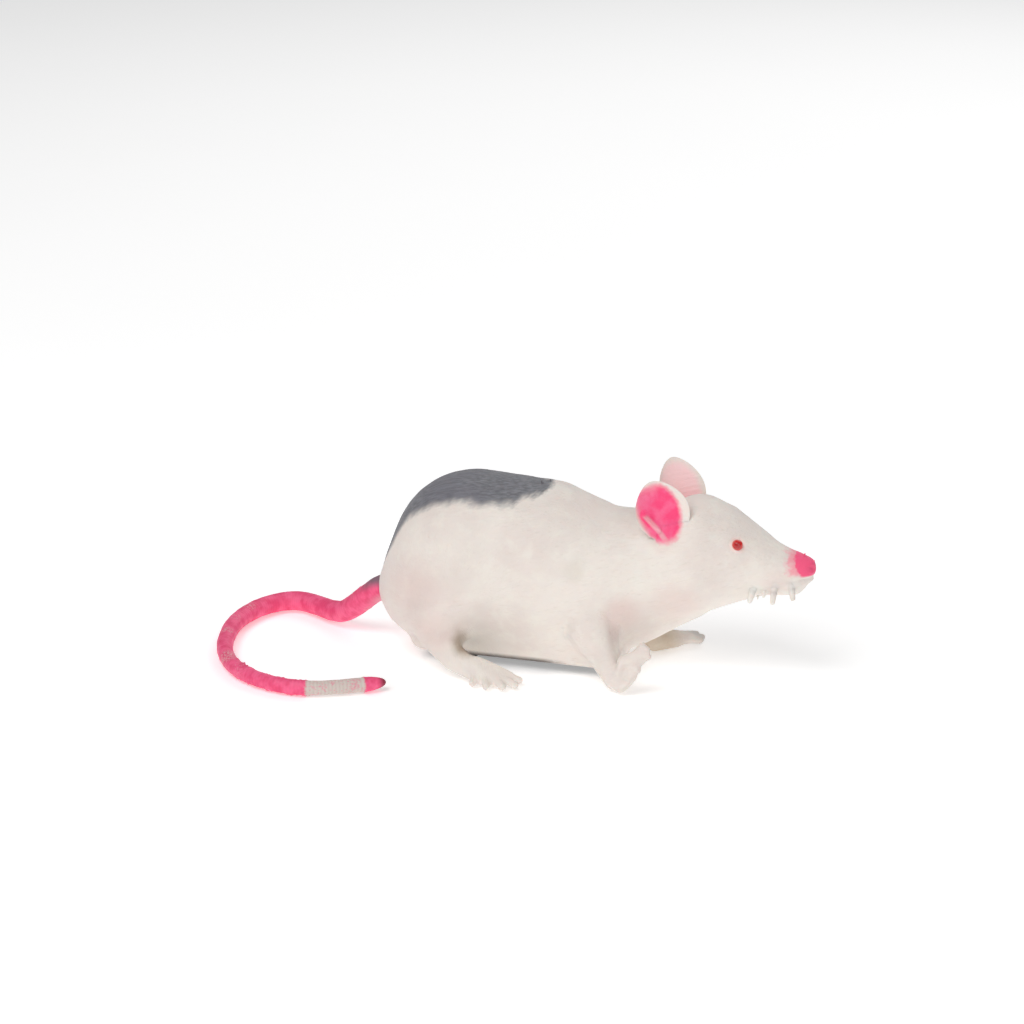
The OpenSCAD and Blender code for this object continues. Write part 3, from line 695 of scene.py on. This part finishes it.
# %% Wrapped sockets
class Value:
    """A number that varies over a surface. Python's signs on it add Math nodes."""

    def __init__(self, finish, socket):
        self.finish = finish
        self.socket = socket

    def math(self, operation, *others, clamp=False):
        settings = {"operation": operation, "use_clamp": clamp}
        return self.finish.add("ShaderNodeMath", settings, dict(enumerate([self, *others])))

    def flipped(self, operation, other):
        return self.finish.add("ShaderNodeMath", {"operation": operation}, {0: other, 1: self})

    def __add__(self, other):
        return self.math("ADD", other)

    def __sub__(self, other):
        return self.math("SUBTRACT", other)

    def __rsub__(self, other):
        return self.flipped("SUBTRACT", other)

    def __mul__(self, other):
        return self.math("MULTIPLY", other)

    def __truediv__(self, other):
        return self.math("DIVIDE", other)

    def __pow__(self, other):
        return self.math("POWER", other)

    __radd__ = __add__
    __rmul__ = __mul__

    def clamped(self):
        return self.math("ADD", 0.0, clamp=True)

    def rise(self, low, high):
        """0 below low and 1 above high, with a smooth step between; falls if high is less."""
        if low > high:
            return 1 - self.rise(high, low)
        return self.finish.add("ShaderNodeMapRange", {"interpolation_type": "SMOOTHSTEP"},
            {0: self, 1: low, 2: high})


def most(first, *others):
    """The largest of several values at each place."""
    for other in others:
        first = first.math("MAXIMUM", other)
    return first


# %% One material at a time
def rgb(red, green, blue):
    """A colour given as 0 to 255 in screen units, as the linear colour Blender wants."""
    def linear(part):
        part /= 255
        return part / 12.92 if part <= 0.04045 else ((part + 0.055) / 1.055) ** 2.4
    return (linear(red), linear(green), linear(blue), 1.0)


class Finish:
    """A material with one Principled shader, and short names for the nodes it uses."""

    def __init__(self, name, **constants):
        self.material = bpy.data.materials.new(name)
        self.material.use_nodes = True
        self.tree = self.material.node_tree
        self.shader = self.tree.nodes["Principled BSDF"]
        for socket, value in constants.items():
            self.shader.inputs[socket.replace("_", " ")].default_value = value
        self.coordinates = None

    def add(self, kind, settings=None, inputs=None, output=0):
        """Adds a node: its settings first, then a value or a link for each socket."""
        node = self.tree.nodes.new(kind)
        for name, value in (settings or {}).items():
            setattr(node, name, value)
        for key, value in (inputs or {}).items():
            if isinstance(value, Value):
                self.tree.links.new(value.socket, node.inputs[key])
            else:
                node.inputs[key].default_value = value
        return Value(self, node.outputs[output])

    def place(self):
        """Object coordinates in millimetres, as a vector."""
        if self.coordinates is None:
            spot = self.add("ShaderNodeTexCoord", output=3)
            self.coordinates = self.add("ShaderNodeVectorMath", {"operation": "SCALE"},
                {0: spot, "Scale": 1 / MM})
        return self.coordinates

    def parts(self, vector):
        """The three parts of a vector."""
        split = self.add("ShaderNodeSeparateXYZ", inputs={0: vector})
        node = split.socket.node
        return [Value(self, socket) for socket in node.outputs]

    def vector(self, x, y, z):
        return self.add("ShaderNodeCombineXYZ", inputs={0: x, 1: y, 2: z})

    def gap(self, vector, place):
        """Distance of a vector from a fixed place."""
        return self.add("ShaderNodeVectorMath", {"operation": "DISTANCE"},
            {0: vector, 1: place}, output=1)

    def along(self, vector, axis, start=0.0):
        """How far a vector reaches along an axis, past a start."""
        return self.add("ShaderNodeVectorMath", {"operation": "DOT_PRODUCT"},
            {0: vector, 1: axis}, output=1) - start

    def stretched(self, vector, factors):
        return self.add("ShaderNodeVectorMath", {"operation": "MULTIPLY"},
            {0: vector, 1: factors})

    def noise(self, vector, scale, detail=3.0, roughness=0.5):
        """A cloudy value from 0 to 1 with its middle at a half."""
        return self.add("ShaderNodeTexNoise", inputs={"Vector": vector, "Scale": scale,
            "Detail": detail, "Roughness": roughness})

    def mix(self, factor, first, second):
        """The first colour, turning into the second as the factor rises to 1."""
        return self.add("ShaderNodeMix", {"data_type": "RGBA", "clamp_factor": True},
            {0: factor, 6: first, 7: second}, output=2)

    def paint(self, colour=None, roughness=None, metallic=None, height=None, depth=0.1):
        """Links what varies to the shader. Height, with its depth in mm, goes through a bump."""
        if colour is not None:
            self.tree.links.new(colour.socket, self.shader.inputs["Base Color"])
        if roughness is not None:
            self.tree.links.new(roughness.socket, self.shader.inputs["Roughness"])
        if metallic is not None:
            self.tree.links.new(metallic.socket, self.shader.inputs["Metallic"])
        if height is not None:
            bump = self.add("ShaderNodeBump", inputs={"Height": height, "Distance": depth * MM,
                "Strength": 1.0})
            self.tree.links.new(bump.socket, self.shader.inputs["Normal"])
        return self.material


def dressed(piece, material):
    """Puts one material on all of a piece."""
    piece.data.materials.clear()
    piece.data.materials.append(material)
    return piece


# %% [markdown]
# ## The rubber's paint
# The bare rubber is a warm off-white that lets a little light in. Over it are sprayed a grey
# patch on the back with a feathered edge and hot pink in the ears and on the nose. Shade is
# painted into the folds, the groin, the far forepaw and the belly's lower edge. All masks are
# worked out from the place on the toy, in millimetres.

# %% Fur strokes, which also tint the paint
def fur(finish, spot):
    """Fine moulded strokes: they curl round the haunch and lie along the body in front of it."""
    x, y, z = finish.parts(spot)
    across = x + 36.0
    up = z - 22.0
    angle = up.math("ARCTAN2", across)
    away = (across * across + up * up).math("SQRT")
    wander = finish.noise(spot, 0.12, 2.0)
    curl = finish.vector(away * 0.16 + wander * 1.6, angle * 9.0, y * 0.10)
    haunch_strokes = finish.noise(curl, 5.0, 3.0)
    lying = finish.vector((x + z * 0.8) * 0.16 + wander * 1.2, y * 0.9, (z - x * 0.35) * 0.9)
    flank_strokes = finish.noise(lying, 1.5, 3.0)
    on_haunch = away.rise(34.0, 18.0) * away.rise(2.5, 11.0)
    return haunch_strokes * on_haunch + flank_strokes * (1 - on_haunch)


# %% The grey patch's edge
def patch_mask(finish, spot, strokes):
    """1 on the sprayed patch on the back, with an edge feathered along the strokes."""
    x, y, z = finish.parts(spot)
    behind = (-36.0 - x).math("MAXIMUM", 0.0)
    ahead = (x + 24.0).math("MAXIMUM", 0.0)
    edge = 51.4 - behind ** 2.5 * 0.0062 + ahead ** 2.0 * 0.028
    sway = finish.noise(finish.vector(x * 0.13, y * 0.05, 0.0), 1.0, 2.0)
    slant = finish.vector((x - z * 0.9) * 0.34, y * 0.12, (z + x * 0.4) * 0.10)
    brush = finish.noise(slant, 1.0, 3.0, 0.6)
    edge = edge + (sway - 0.5) * 5.0 + (brush - 0.5) * (1.2 + ahead * 0.4)
    return (z - edge + (strokes - 0.5) * 1.5).rise(-1.4, 1.4)


# %% The ears' and the nose's pink
def ear_masks(finish, spot):
    """Two masks: hot pink in the cup of each ear, and pale pink on its back."""
    x, y, z = finish.parts(spot)
    folded = finish.vector(x, y.math("ABSOLUTE"), z)
    down, forward, out = ear_axes(1)
    centre = Vector((EAR["x"], EAR["y"], EAR["z"]))
    u = finish.along(folded, down, down.dot(centre)) / EAR["long"]
    v = finish.along(folded, forward, forward.dot(centre)) / EAR["wide"]
    w = finish.along(folded, out, out.dot(centre))
    blotch = finish.noise(spot, 0.55, 3.0) - 0.5
    off_middle = ((u + 0.05) ** 2.0 + ((v + 0.16) * 1.14) ** 2.0).math("SQRT")
    wall = (u ** 2.0 + v ** 2.0).math("MINIMUM", 1.0) * CUP_RISE - CUP_DEPTH
    in_cup = (w - wall).rise(0.05, 0.5)
    near_ear = finish.gap(folded, centre).rise(12.0, 10.4)
    fold = FOLD_END - FOLD_START
    beside_fold = (v - FOLD_START.y) * fold.x - (u - FOLD_START.x) * fold.y
    fold_gap = beside_fold.math("ABSOLUTE") / fold.length
    ridge = fold_gap.rise(0.13, 0.04) * u.rise(-0.15, 0.0) * u.rise(0.85, 0.7)
    hot = (off_middle + blotch * 0.2).rise(1.06, 0.78) * in_cup * near_ear
    hot = hot * (1 - ridge * 0.45)
    back = (u ** 2.0 + v ** 2.0).math("SQRT").rise(1.0, 0.72) * (1 - in_cup) * near_ear
    back = back * u.rise(0.86, 0.45)
    return hot, back


def nose_mask(finish, spot):
    """Hot pink over the tip of the nose, blotchy where it runs back along the snout."""
    z = finish.parts(spot)[2]
    blotch = finish.noise(spot, 0.7, 3.0) - 0.5
    tip = finish.gap(spot, (68.4, 0.0, 38.4)) + blotch * 2.6
    solid = tip.rise(7.6, 6.2) * z.rise(34.3, 35.2)
    faint = (tip + blotch * 3.0).rise(10.4, 7.4) * z.rise(34.4, 36.0) * 0.55
    return most(solid, faint)


# %% The whole skin
# Each blush is a place, a size in mm and a strength. Each painted shade spot has a tint as well: painted shade in
# the neck and shoulder creases, in the groin and in a soft patch on the flank.
BLUSHES = [((-47, 23, 25), 15.0, 0.32), ((-40, 26, 14), 9.0, 0.35), ((14, 16, 22), 9.0, 0.5),
    ((30, 14, 25), 12.0, 0.4), ((26, 12, 45), 6.0, 0.45), ((58, 6, 33), 7.0, 0.35)]
SHADE_SPOTS = [((17.0, 14.6, 53.0), 7.0, 0.55, (196, 178, 168)),
    ((-31.6, 24.4, 10.4), 5.4, 0.85, (150, 124, 92)),
    ((-29.4, 22.4, 7.4), 4.4, 0.95, (70, 48, 30)),
    ((12.6, 18.6, 16.5), 4.2, 0.4, (205, 182, 176)),
    ((0.5, 19.5, 34.8), 4.4, 0.14, (196, 194, 172)),
    ((1.2, 19.5, 38.6), 3.6, 0.12, (196, 194, 172))]


def skin_paint():
    """Bare rubber, blush, painted shade in the folds and along the belly's edge, grey back, pink ears and nose."""
    finish = Finish("skin_rubber_paint", Roughness=0.5, IOR=1.42, Subsurface_Weight=0.22,
        Subsurface_Scale=1.6 * MM, Subsurface_Radius=(1.0, 0.55, 0.42), Sheen_Weight=0.06)
    spot = finish.place()
    x, y, z = finish.parts(spot)
    folded = finish.vector(x, y.math("ABSOLUTE"), z)
    strokes = fur(finish, spot)
    cloud = finish.noise(spot, 0.045, 3.0)
    mottle = finish.noise(spot, 0.22, 4.0)
    colour = finish.mix(cloud.rise(0.35, 0.65), rgb(240, 232, 224), rgb(233, 222, 215))
    colour = finish.mix(mottle.rise(0.45, 0.75) * 0.5, colour, rgb(243, 238, 228))
    colour = finish.mix(strokes.rise(0.55, 0.8) * 0.22, colour, rgb(205, 190, 178))
    for place, size, amount in BLUSHES:
        near = finish.gap(folded, place).rise(size, size * 0.2)
        colour = finish.mix(near * amount, colour, rgb(231, 203, 197))
    # Painted shade: darker tints in the neck and shoulder creases, in the groin down to near-black, and a soft
    # patch on the flank.
    for place, size, amount, tint in SHADE_SPOTS:
        near = (finish.gap(folded, place) + (mottle - 0.5) * 3.0).rise(size, size * 0.15)
        colour = finish.mix(near * amount, colour, rgb(*tint))
    # Painted shadow: a near-black contact shadow along the belly's lower edge, from the groin forward to under the
    # chest, where the skin meets the base plate.
    belly_edge_shadow = z.rise(5.6, 3.4) * x.rise(-44.0, -36.0) * x.rise(-1.0, -12.0)
    belly_edge_shadow = belly_edge_shadow * y.math("ABSOLUTE").rise(17.6, 15.4) * mottle.rise(0.1, 0.4)
    colour = finish.mix(belly_edge_shadow * 0.9, colour, rgb(58, 44, 34))
    # Painted shade: the far (left) forepaw, which lies in shadow under the chin, is tinted tan.
    far_paw_shade = (finish.gap(spot, (17.0, 15.0, 4.0)) + (mottle - 0.5) * 3.0).rise(10.4, 3.0) * 0.75
    colour = finish.mix(far_paw_shade, colour, rgb(200, 180, 152))
    grey_toes = finish.gap(spot, (27.6, 25.0, 1.6)).rise(5.0, 2.5) * 0.5
    colour = finish.mix(grey_toes, colour, rgb(188, 184, 180))
    patch = patch_mask(finish, spot, strokes)
    grey = finish.mix(strokes.rise(0.3, 0.7), rgb(98, 99, 105), rgb(130, 131, 137))
    grey = finish.mix(cloud.rise(0.4, 0.7) * 0.4, grey, rgb(112, 110, 122))
    colour = finish.mix(patch * 0.97, colour, grey)
    hot, back = ear_masks(finish, spot)
    colour = finish.mix(back * 0.85, colour, rgb(252, 210, 212))
    pink = finish.mix(mottle.rise(0.4, 0.65), rgb(255, 74, 130), rgb(255, 112, 156))
    colour = finish.mix(hot, colour, pink)
    colour = finish.mix(nose_mask(finish, spot), colour, rgb(255, 92, 136))
    eye_gap = finish.gap(folded, EYE)
    halo = eye_gap.rise(2.9, 2.0) * 0.8
    colour = finish.mix(halo, colour, rgb(255, 234, 226))
    colour = finish.mix(eye_gap.rise(1.8, 1.5) * 0.9, colour, rgb(236, 70, 44))
    pores = finish.noise(spot, 2.6, 2.0)
    height = strokes * (0.8 - patch * 0.45) + pores * 0.2
    painted = most(patch, hot)
    roughness = 0.44 + mottle * 0.14 + painted * 0.12
    return finish.paint(colour, roughness, height=height, depth=0.34)


dressed(rubber, skin_paint())
print("skin shader:", len(rubber.active_material.node_tree.nodes), "nodes")

# %% [markdown]
# The tail was dipped or sprayed hot pink and has worn since. Bare rubber shows in one long band
# near the tip and in scuffs along the curl, and grey from the back's spray fell on top of the
# root. The masks read how far along the tail each point lies.

# %% The tail's paint
# Each scuff is a place, a size in mm and the level that the speckle has to stay under.
SCUFFS = [((-95, 14.5, 1.6), 2.6, 0.60), ((-83.5, 8.6, 1.8), 3.4, 0.60),
    ((-111.6, 1.0, 5.5), 4.0, 0.55), ((-111.0, -9.5, 6.0), 3.4, 0.52),
    ((-109.4, -20.0, 5.6), 3.2, 0.56), ((-93.5, -46.6, 4.8), 4.6, 0.48),
    ((-101, -39.6, 5.4), 5.0, 0.60), ((-70.5, 1.4, 9.8), 3.0, 0.62)]


def tail_paint():
    """Hot pink with bare scuffs, a bare band, a grey root and a dark red tip."""
    finish = Finish("tail_rubber_paint", IOR=1.42, Subsurface_Weight=0.12,
        Subsurface_Scale=1.2 * MM, Subsurface_Radius=(1.0, 0.5, 0.45))
    spot = finish.place()
    reach_here = finish.add("ShaderNodeAttribute", {"attribute_name": "along"}, output=2)
    height_here = finish.add("ShaderNodeAttribute", {"attribute_name": "height"}, output=2)
    speckle = finish.noise(spot, 1.5, 4.0, 0.65)
    mottle = finish.noise(spot, 0.3, 3.0)
    rings = (reach_here * (2 * math.pi / SCALE_RING)).math("SINE") * 0.5 + 0.5
    pink = finish.mix(mottle.rise(0.35, 0.65), rgb(240, 76, 124), rgb(255, 106, 150))
    pink = finish.mix(rings * 0.08, pink, rgb(196, 48, 92))
    bare = finish.mix(rings * 0.25, rgb(216, 204, 196), rgb(184, 168, 158))
    bare = finish.mix((speckle + mottle * 0.4).rise(0.72, 0.86) * 0.6, bare, rgb(232, 120, 150))
    worn = []
    for place, size, level in SCUFFS:
        near = finish.gap(spot, place).rise(size, size * 0.3)
        worn.append(near * speckle.rise(level, level - 0.26) * 0.8)
    wear = most(*worn)
    edge_noise = (speckle - 0.5) * 2.4
    band = (reach_here + edge_noise).rise(BARE_START - 0.4, BARE_START + 0.4)
    band = band * (reach_here + edge_noise * 0.5).rise(BARE_END + 0.4, BARE_END - 0.4)
    colour = finish.mix(wear, pink, rgb(240, 206, 204))
    colour = finish.mix(band, colour, bare)
    near_root = (reach_here + (mottle - 0.5) * 4.0).rise(13.0, 5.5)
    colour = finish.mix(near_root * height_here.rise(0.1, 0.8), colour, rgb(138, 108, 122))
    colour = finish.mix(near_root * height_here.rise(-0.1, -0.8) * 0.8, colour, rgb(246, 178, 192))
    end = reach_here.rise(tail_length - 3.0, tail_length - 0.6)
    colour = finish.mix(end * 0.85, colour, rgb(120, 26, 44))
    bumps = rings * 0.25 + speckle * 0.45 - wear * 0.4
    roughness = 0.42 + speckle * 0.2 + band * 0.1
    return finish.paint(colour, roughness, height=bumps, depth=0.16)


dressed(tail, tail_paint())
print("tail shader:", len(tail.active_material.node_tree.nodes), "nodes")

# %% [markdown]
# ## Finishes for the working parts
# These are stock finishes, one function each: rolled and turned metal with fine scratches,
# moulded plastic with a faint orange-peel grain, tyre rubber, and the glossy bead eyes.

# %% Metals
def metal(name, bright, dull, roughness, stains=0.35):
    """Metal with fine scratches both ways, a few stains and slightly uneven gloss."""
    finish = Finish(name, Metallic=1.0)
    spot = finish.place()
    cloud = finish.noise(spot, 0.30, 3.0)
    scratches = finish.noise(finish.stretched(spot, (0.5, 9.0, 0.9)), 1.4, 2.0)
    cross = finish.noise(finish.stretched(spot, (7.0, 0.6, 7.0)), 1.1, 2.0)
    tone = (scratches * 0.6 + cross * 0.4).rise(0.35, 0.65)
    colour = finish.mix(tone, dull, bright)
    colour = finish.mix(cloud.rise(0.55, 0.75) * stains, colour, dull)
    rough = roughness + (cloud - 0.5) * 0.2 + (scratches - 0.5) * 0.16
    return finish.paint(colour, rough.clamped(), height=scratches, depth=0.02)


# %% Plastics and tyre rubber
def plastic(name, base, worn, roughness, grain=1.6, coat=0.0):
    """Moulded plastic: a fine grain, flow marks and a little dust or wear."""
    finish = Finish(name, IOR=1.46, Coat_Weight=coat, Coat_Roughness=0.15)
    spot = finish.place()
    fine = finish.noise(spot, grain, 3.0)
    flow = finish.noise(finish.stretched(spot, (0.25, 0.7, 0.7)), 0.25, 3.0)
    colour = finish.mix(flow.rise(0.45, 0.75) * 0.6, base, worn)
    colour = finish.mix(fine.rise(0.62, 0.8) * 0.3, colour, worn)
    rough = roughness + (flow - 0.5) * 0.16 + (fine - 0.5) * 0.1
    return finish.paint(colour, rough.clamped(), height=fine, depth=0.03)


def bead():
    """A red glass-like bead with a darker middle on the side that looks out."""
    finish = Finish("eye_bead_gloss", IOR=1.52, Roughness=0.12, Coat_Weight=0.6,
        Coat_Roughness=0.04)
    spot = finish.place()
    x, y, z = finish.parts(spot)
    folded = finish.vector(x, y.math("ABSOLUTE"), z)
    out = Vector((0.1, 0.97, 0.12)).normalized()
    pupil = Vector(EYE) + out * 1.5
    middle = finish.gap(folded, pupil) + (finish.noise(spot, 1.4, 2.0) - 0.5) * 0.5
    colour = finish.mix(middle.rise(0.7, 1.5), rgb(178, 8, 10), rgb(214, 20, 16))
    return finish.paint(colour)


FINISHES = {
    "steel": metal("steel_rolled", (0.62, 0.63, 0.65, 1), (0.36, 0.36, 0.37, 1), 0.34),
    "spring_steel": metal("spring_steel_blued", (0.20, 0.26, 0.42, 1), (0.10, 0.11, 0.17, 1), 0.3),
    "brass": metal("brass_stamped", (0.86, 0.66, 0.30, 1), (0.50, 0.35, 0.14, 1), 0.27),
    "black_plastic": plastic("black_plastic_satin", rgb(34, 33, 33), rgb(70, 68, 66), 0.46),
    "white_plastic": plastic("white_plastic_moulded", rgb(232, 230, 222), rgb(200, 194, 180), 0.34),
    "red_plastic": plastic("red_plastic_moulded", rgb(196, 34, 26), rgb(150, 28, 22), 0.32, coat=0.2),
    "tyre_rubber": plastic("tyre_rubber_matt", rgb(36, 36, 36), rgb(92, 88, 82), 0.72, grain=2.4),
    "eye_bead": bead(),
}
print("finishes:", ", ".join(FINISHES))

# %% [markdown]
# ## Dressing the frame's own parts
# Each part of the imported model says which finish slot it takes. The parts whose shape is right
# stay as they are. Those that a hand can touch or an eye can reach get softened edges, because
# no cast, stamped or moulded edge is razor sharp. A CAD part's mesh is never changed, so a copy
# is merged and bevelled, and stands in for it.

# %% Which finish each part takes
slot_of = {part["node"]: part["material_slot"] for part in frame["record"]["subparts"]}
body_of = {node: body for body, members in frame["record"]["behaviour"]["bodies"].items()
    for node in members}
for node, piece in frame["nodes"].items():
    if slot_of[node] in FINISHES:
        dressed(piece, FINISHES[slot_of[node]])
print("parts by finish:", {slot: sum(s == slot for s in slot_of.values()) for slot in FINISHES})


# %% A softened copy of a part
def stands_for(piece, node):
    """Gives a new piece the finish and the body of the part that it replaces, and hides that part."""
    dressed(piece, FINISHES[slot_of[node]])
    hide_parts(node)
    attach(piece, body_of[node])
    return piece


def softened(node, width):
    """A merged copy of a part, its sharp edges bevelled to this width in mm."""
    source = frame["nodes"][node]
    piece = bpy.data.objects.new(node + "_finished", source.data.copy())
    bpy.context.scene.collection.objects.link(piece)
    pick(piece)
    if piece.data.has_custom_normals:
        bpy.ops.mesh.customdata_custom_splitnormals_clear()
    bpy.ops.object.mode_set(mode="EDIT")
    bpy.ops.mesh.select_all(action="SELECT")
    bpy.ops.mesh.remove_doubles(threshold=0.002 * MM)
    bpy.ops.mesh.dissolve_limited(angle_limit=math.radians(0.5))
    bpy.ops.object.mode_set(mode="OBJECT")
    modified(piece, "BEVEL", width=width * MM, segments=2, limit_method="ANGLE",
        angle_limit=math.radians(35))
    pick(piece)
    bpy.ops.object.shade_smooth_by_angle(angle=math.radians(32))
    return stands_for(piece, node)


# %% Softened parts
SOFT_EDGES = {
    0.30: ["base_plate", "key_wings"],
    0.20: ["castor_fork", "key_barrel", "key_grommet", "castor_roller"],
    0.12: ["wheel_hub_right", "wheel_hub_left", "motor_screws", "plate_rivets"],
    0.08: ["motor_plate_right", "motor_plate_left", "winding_arbor", "drive_axle",
        "castor_axle", "governor_fly"],
}
for width, nodes in SOFT_EDGES.items():
    for node in nodes:
        piece = softened(node, width)
        print(piece.name, len(piece.data.polygons), "faces")

# %% [markdown]
# ## Tyres
# The drive wheels grip the floor with a rubber tyre that has ribs across its tread. A cylinder
# is drilled by insetting its ends, deleting the middle and bridging the hole. Every other face
# of the tread is then inset and pushed in, which leaves the ribs standing.

# %% Ribbed tyres
RIBS = 40
GROOVE, GROOVE_RIM = 0.28, 0.14


def select_faces(piece, wanted):
    """Edit mode, with just the faces selected that the test wants."""
    pick(piece)
    bpy.ops.object.mode_set(mode="EDIT")
    bpy.ops.mesh.select_mode(type="FACE")
    bpy.ops.mesh.select_all(action="DESELECT")
    bpy.ops.object.mode_set(mode="OBJECT")
    for face in piece.data.polygons:
        face.select = wanted(face)
    bpy.ops.object.mode_set(mode="EDIT")


def ribbed_tyre(node):
    """A drilled cylinder with a rib at every other face of its tread."""
    low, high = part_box(node)
    hub_low, hub_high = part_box(node.replace("tyre", "wheel_hub"))
    middle = (low + high) / 2 / MM
    outer = (high.z - low.z) / 2 / MM
    inner = (hub_high.z - hub_low.z) / 2 / MM
    piece = rod(middle, outer, (high.y - low.y) / MM, ALONG_Y, 2 * RIBS)
    select_faces(piece, lambda face: len(face.vertices) > 4)
    bpy.ops.mesh.inset(thickness=(outer - inner) * MM)
    bpy.ops.mesh.delete(type="ONLY_FACE")
    bpy.ops.mesh.select_mode(type="EDGE")
    bpy.ops.mesh.select_non_manifold()
    bpy.ops.mesh.bridge_edge_loops()
    bpy.ops.object.mode_set(mode="OBJECT")

    def in_groove(face):
        reach_out = math.hypot(face.center.x / MM - middle.x, face.center.z / MM - middle.z)
        angle = math.atan2(face.center.z / MM - middle.z, face.center.x / MM - middle.x)
        return reach_out > outer * 0.98 and int(angle * RIBS / math.pi + 2 * RIBS) % 2 == 0

    select_faces(piece, in_groove)
    print(node, "grooves:", sum(face.select for face in piece.data.polygons))
    bpy.ops.mesh.inset(thickness=GROOVE_RIM * MM, depth=-GROOVE * MM, use_individual=True)
    bpy.ops.object.mode_set(mode="OBJECT")
    modified(piece, "BEVEL", width=0.05 * MM, segments=1, limit_method="ANGLE",
        angle_limit=math.radians(40))
    piece.name = node + "_ribbed"
    return stands_for(piece, node)


for node in ("tyre_right", "tyre_left"):
    ribbed_tyre(node)

# %% [markdown]
# ## The studio
# The toy stands on a plain pale floor under large soft lights, so that the shading is gentle
# and the colours read clearly. The lens is long, because a short lens near a small toy would
# swell its nose. The floor glows faintly and the view transform is Standard, so that white
# paper stays white and the hot pinks keep their strength.

# %% Floor
FLOOR_SIZE = 8.0
pick()
bpy.ops.mesh.primitive_plane_add(size=FLOOR_SIZE)
floor = placed("floor")
floor_finish = Finish("floor_paper", Roughness=0.9, Emission_Color=(1, 1, 1, 1),
    Emission_Strength=0.32)
floor_spot = floor_finish.place()
floor_tone = floor_finish.noise(floor_spot, 0.004, 2.0)
floor_colour = floor_finish.mix(floor_tone, (0.93, 0.93, 0.93, 1), (0.96, 0.96, 0.96, 1))
dressed(floor, floor_finish.paint(floor_colour))


# %% Lights
def aimed(thing, target):
    """Turns a light or camera so that it looks at a place in millimetres."""
    thing.rotation_euler = (metres(target) - thing.location).to_track_quat("-Z", "Y").to_euler()


def softbox(name, place, size, power):
    """A square area light at a place in millimetres, aimed at the toy."""
    pick()
    bpy.ops.object.light_add(type="AREA", location=metres(place))
    light = bpy.context.object
    light.name = name
    light.data.size = size
    light.data.energy = power
    aimed(light, (-20, 0, 30))


softbox("key_light", (-400, -900, 1250), 0.9, 11.2)
softbox("front_fill", (800, -1100, 600), 1.1, 3.8)
softbox("back_light", (200, 1000, 1000), 1.2, 5.6)
world = bpy.data.worlds.new("studio")
bpy.context.scene.world = world
world.use_nodes = True
world.node_tree.nodes["Background"].inputs["Color"].default_value = (1, 1, 1, 1)
world.node_tree.nodes["Background"].inputs["Strength"].default_value = 0.26
bpy.context.scene.view_settings.view_transform = "Standard"

# %% Camera
CAMERA_TURN, CAMERA_LIFT, CAMERA_GAP = math.radians(17), math.radians(18), 900
CAMERA_AIM = Vector((-24.5, 0, 45))
SENSOR, LENS = 36, 105.5
view_from = Vector((math.sin(CAMERA_TURN) * math.cos(CAMERA_LIFT),
    -math.cos(CAMERA_TURN) * math.cos(CAMERA_LIFT), math.sin(CAMERA_LIFT)))
pick()
bpy.ops.object.camera_add(location=metres(CAMERA_AIM + view_from * CAMERA_GAP))
camera = bpy.context.object
camera.data.sensor_width = SENSOR
camera.data.lens = LENS
aimed(camera, CAMERA_AIM)
bpy.context.scene.camera = camera
print("camera at mm:", [round(c / MM) for c in camera.location])
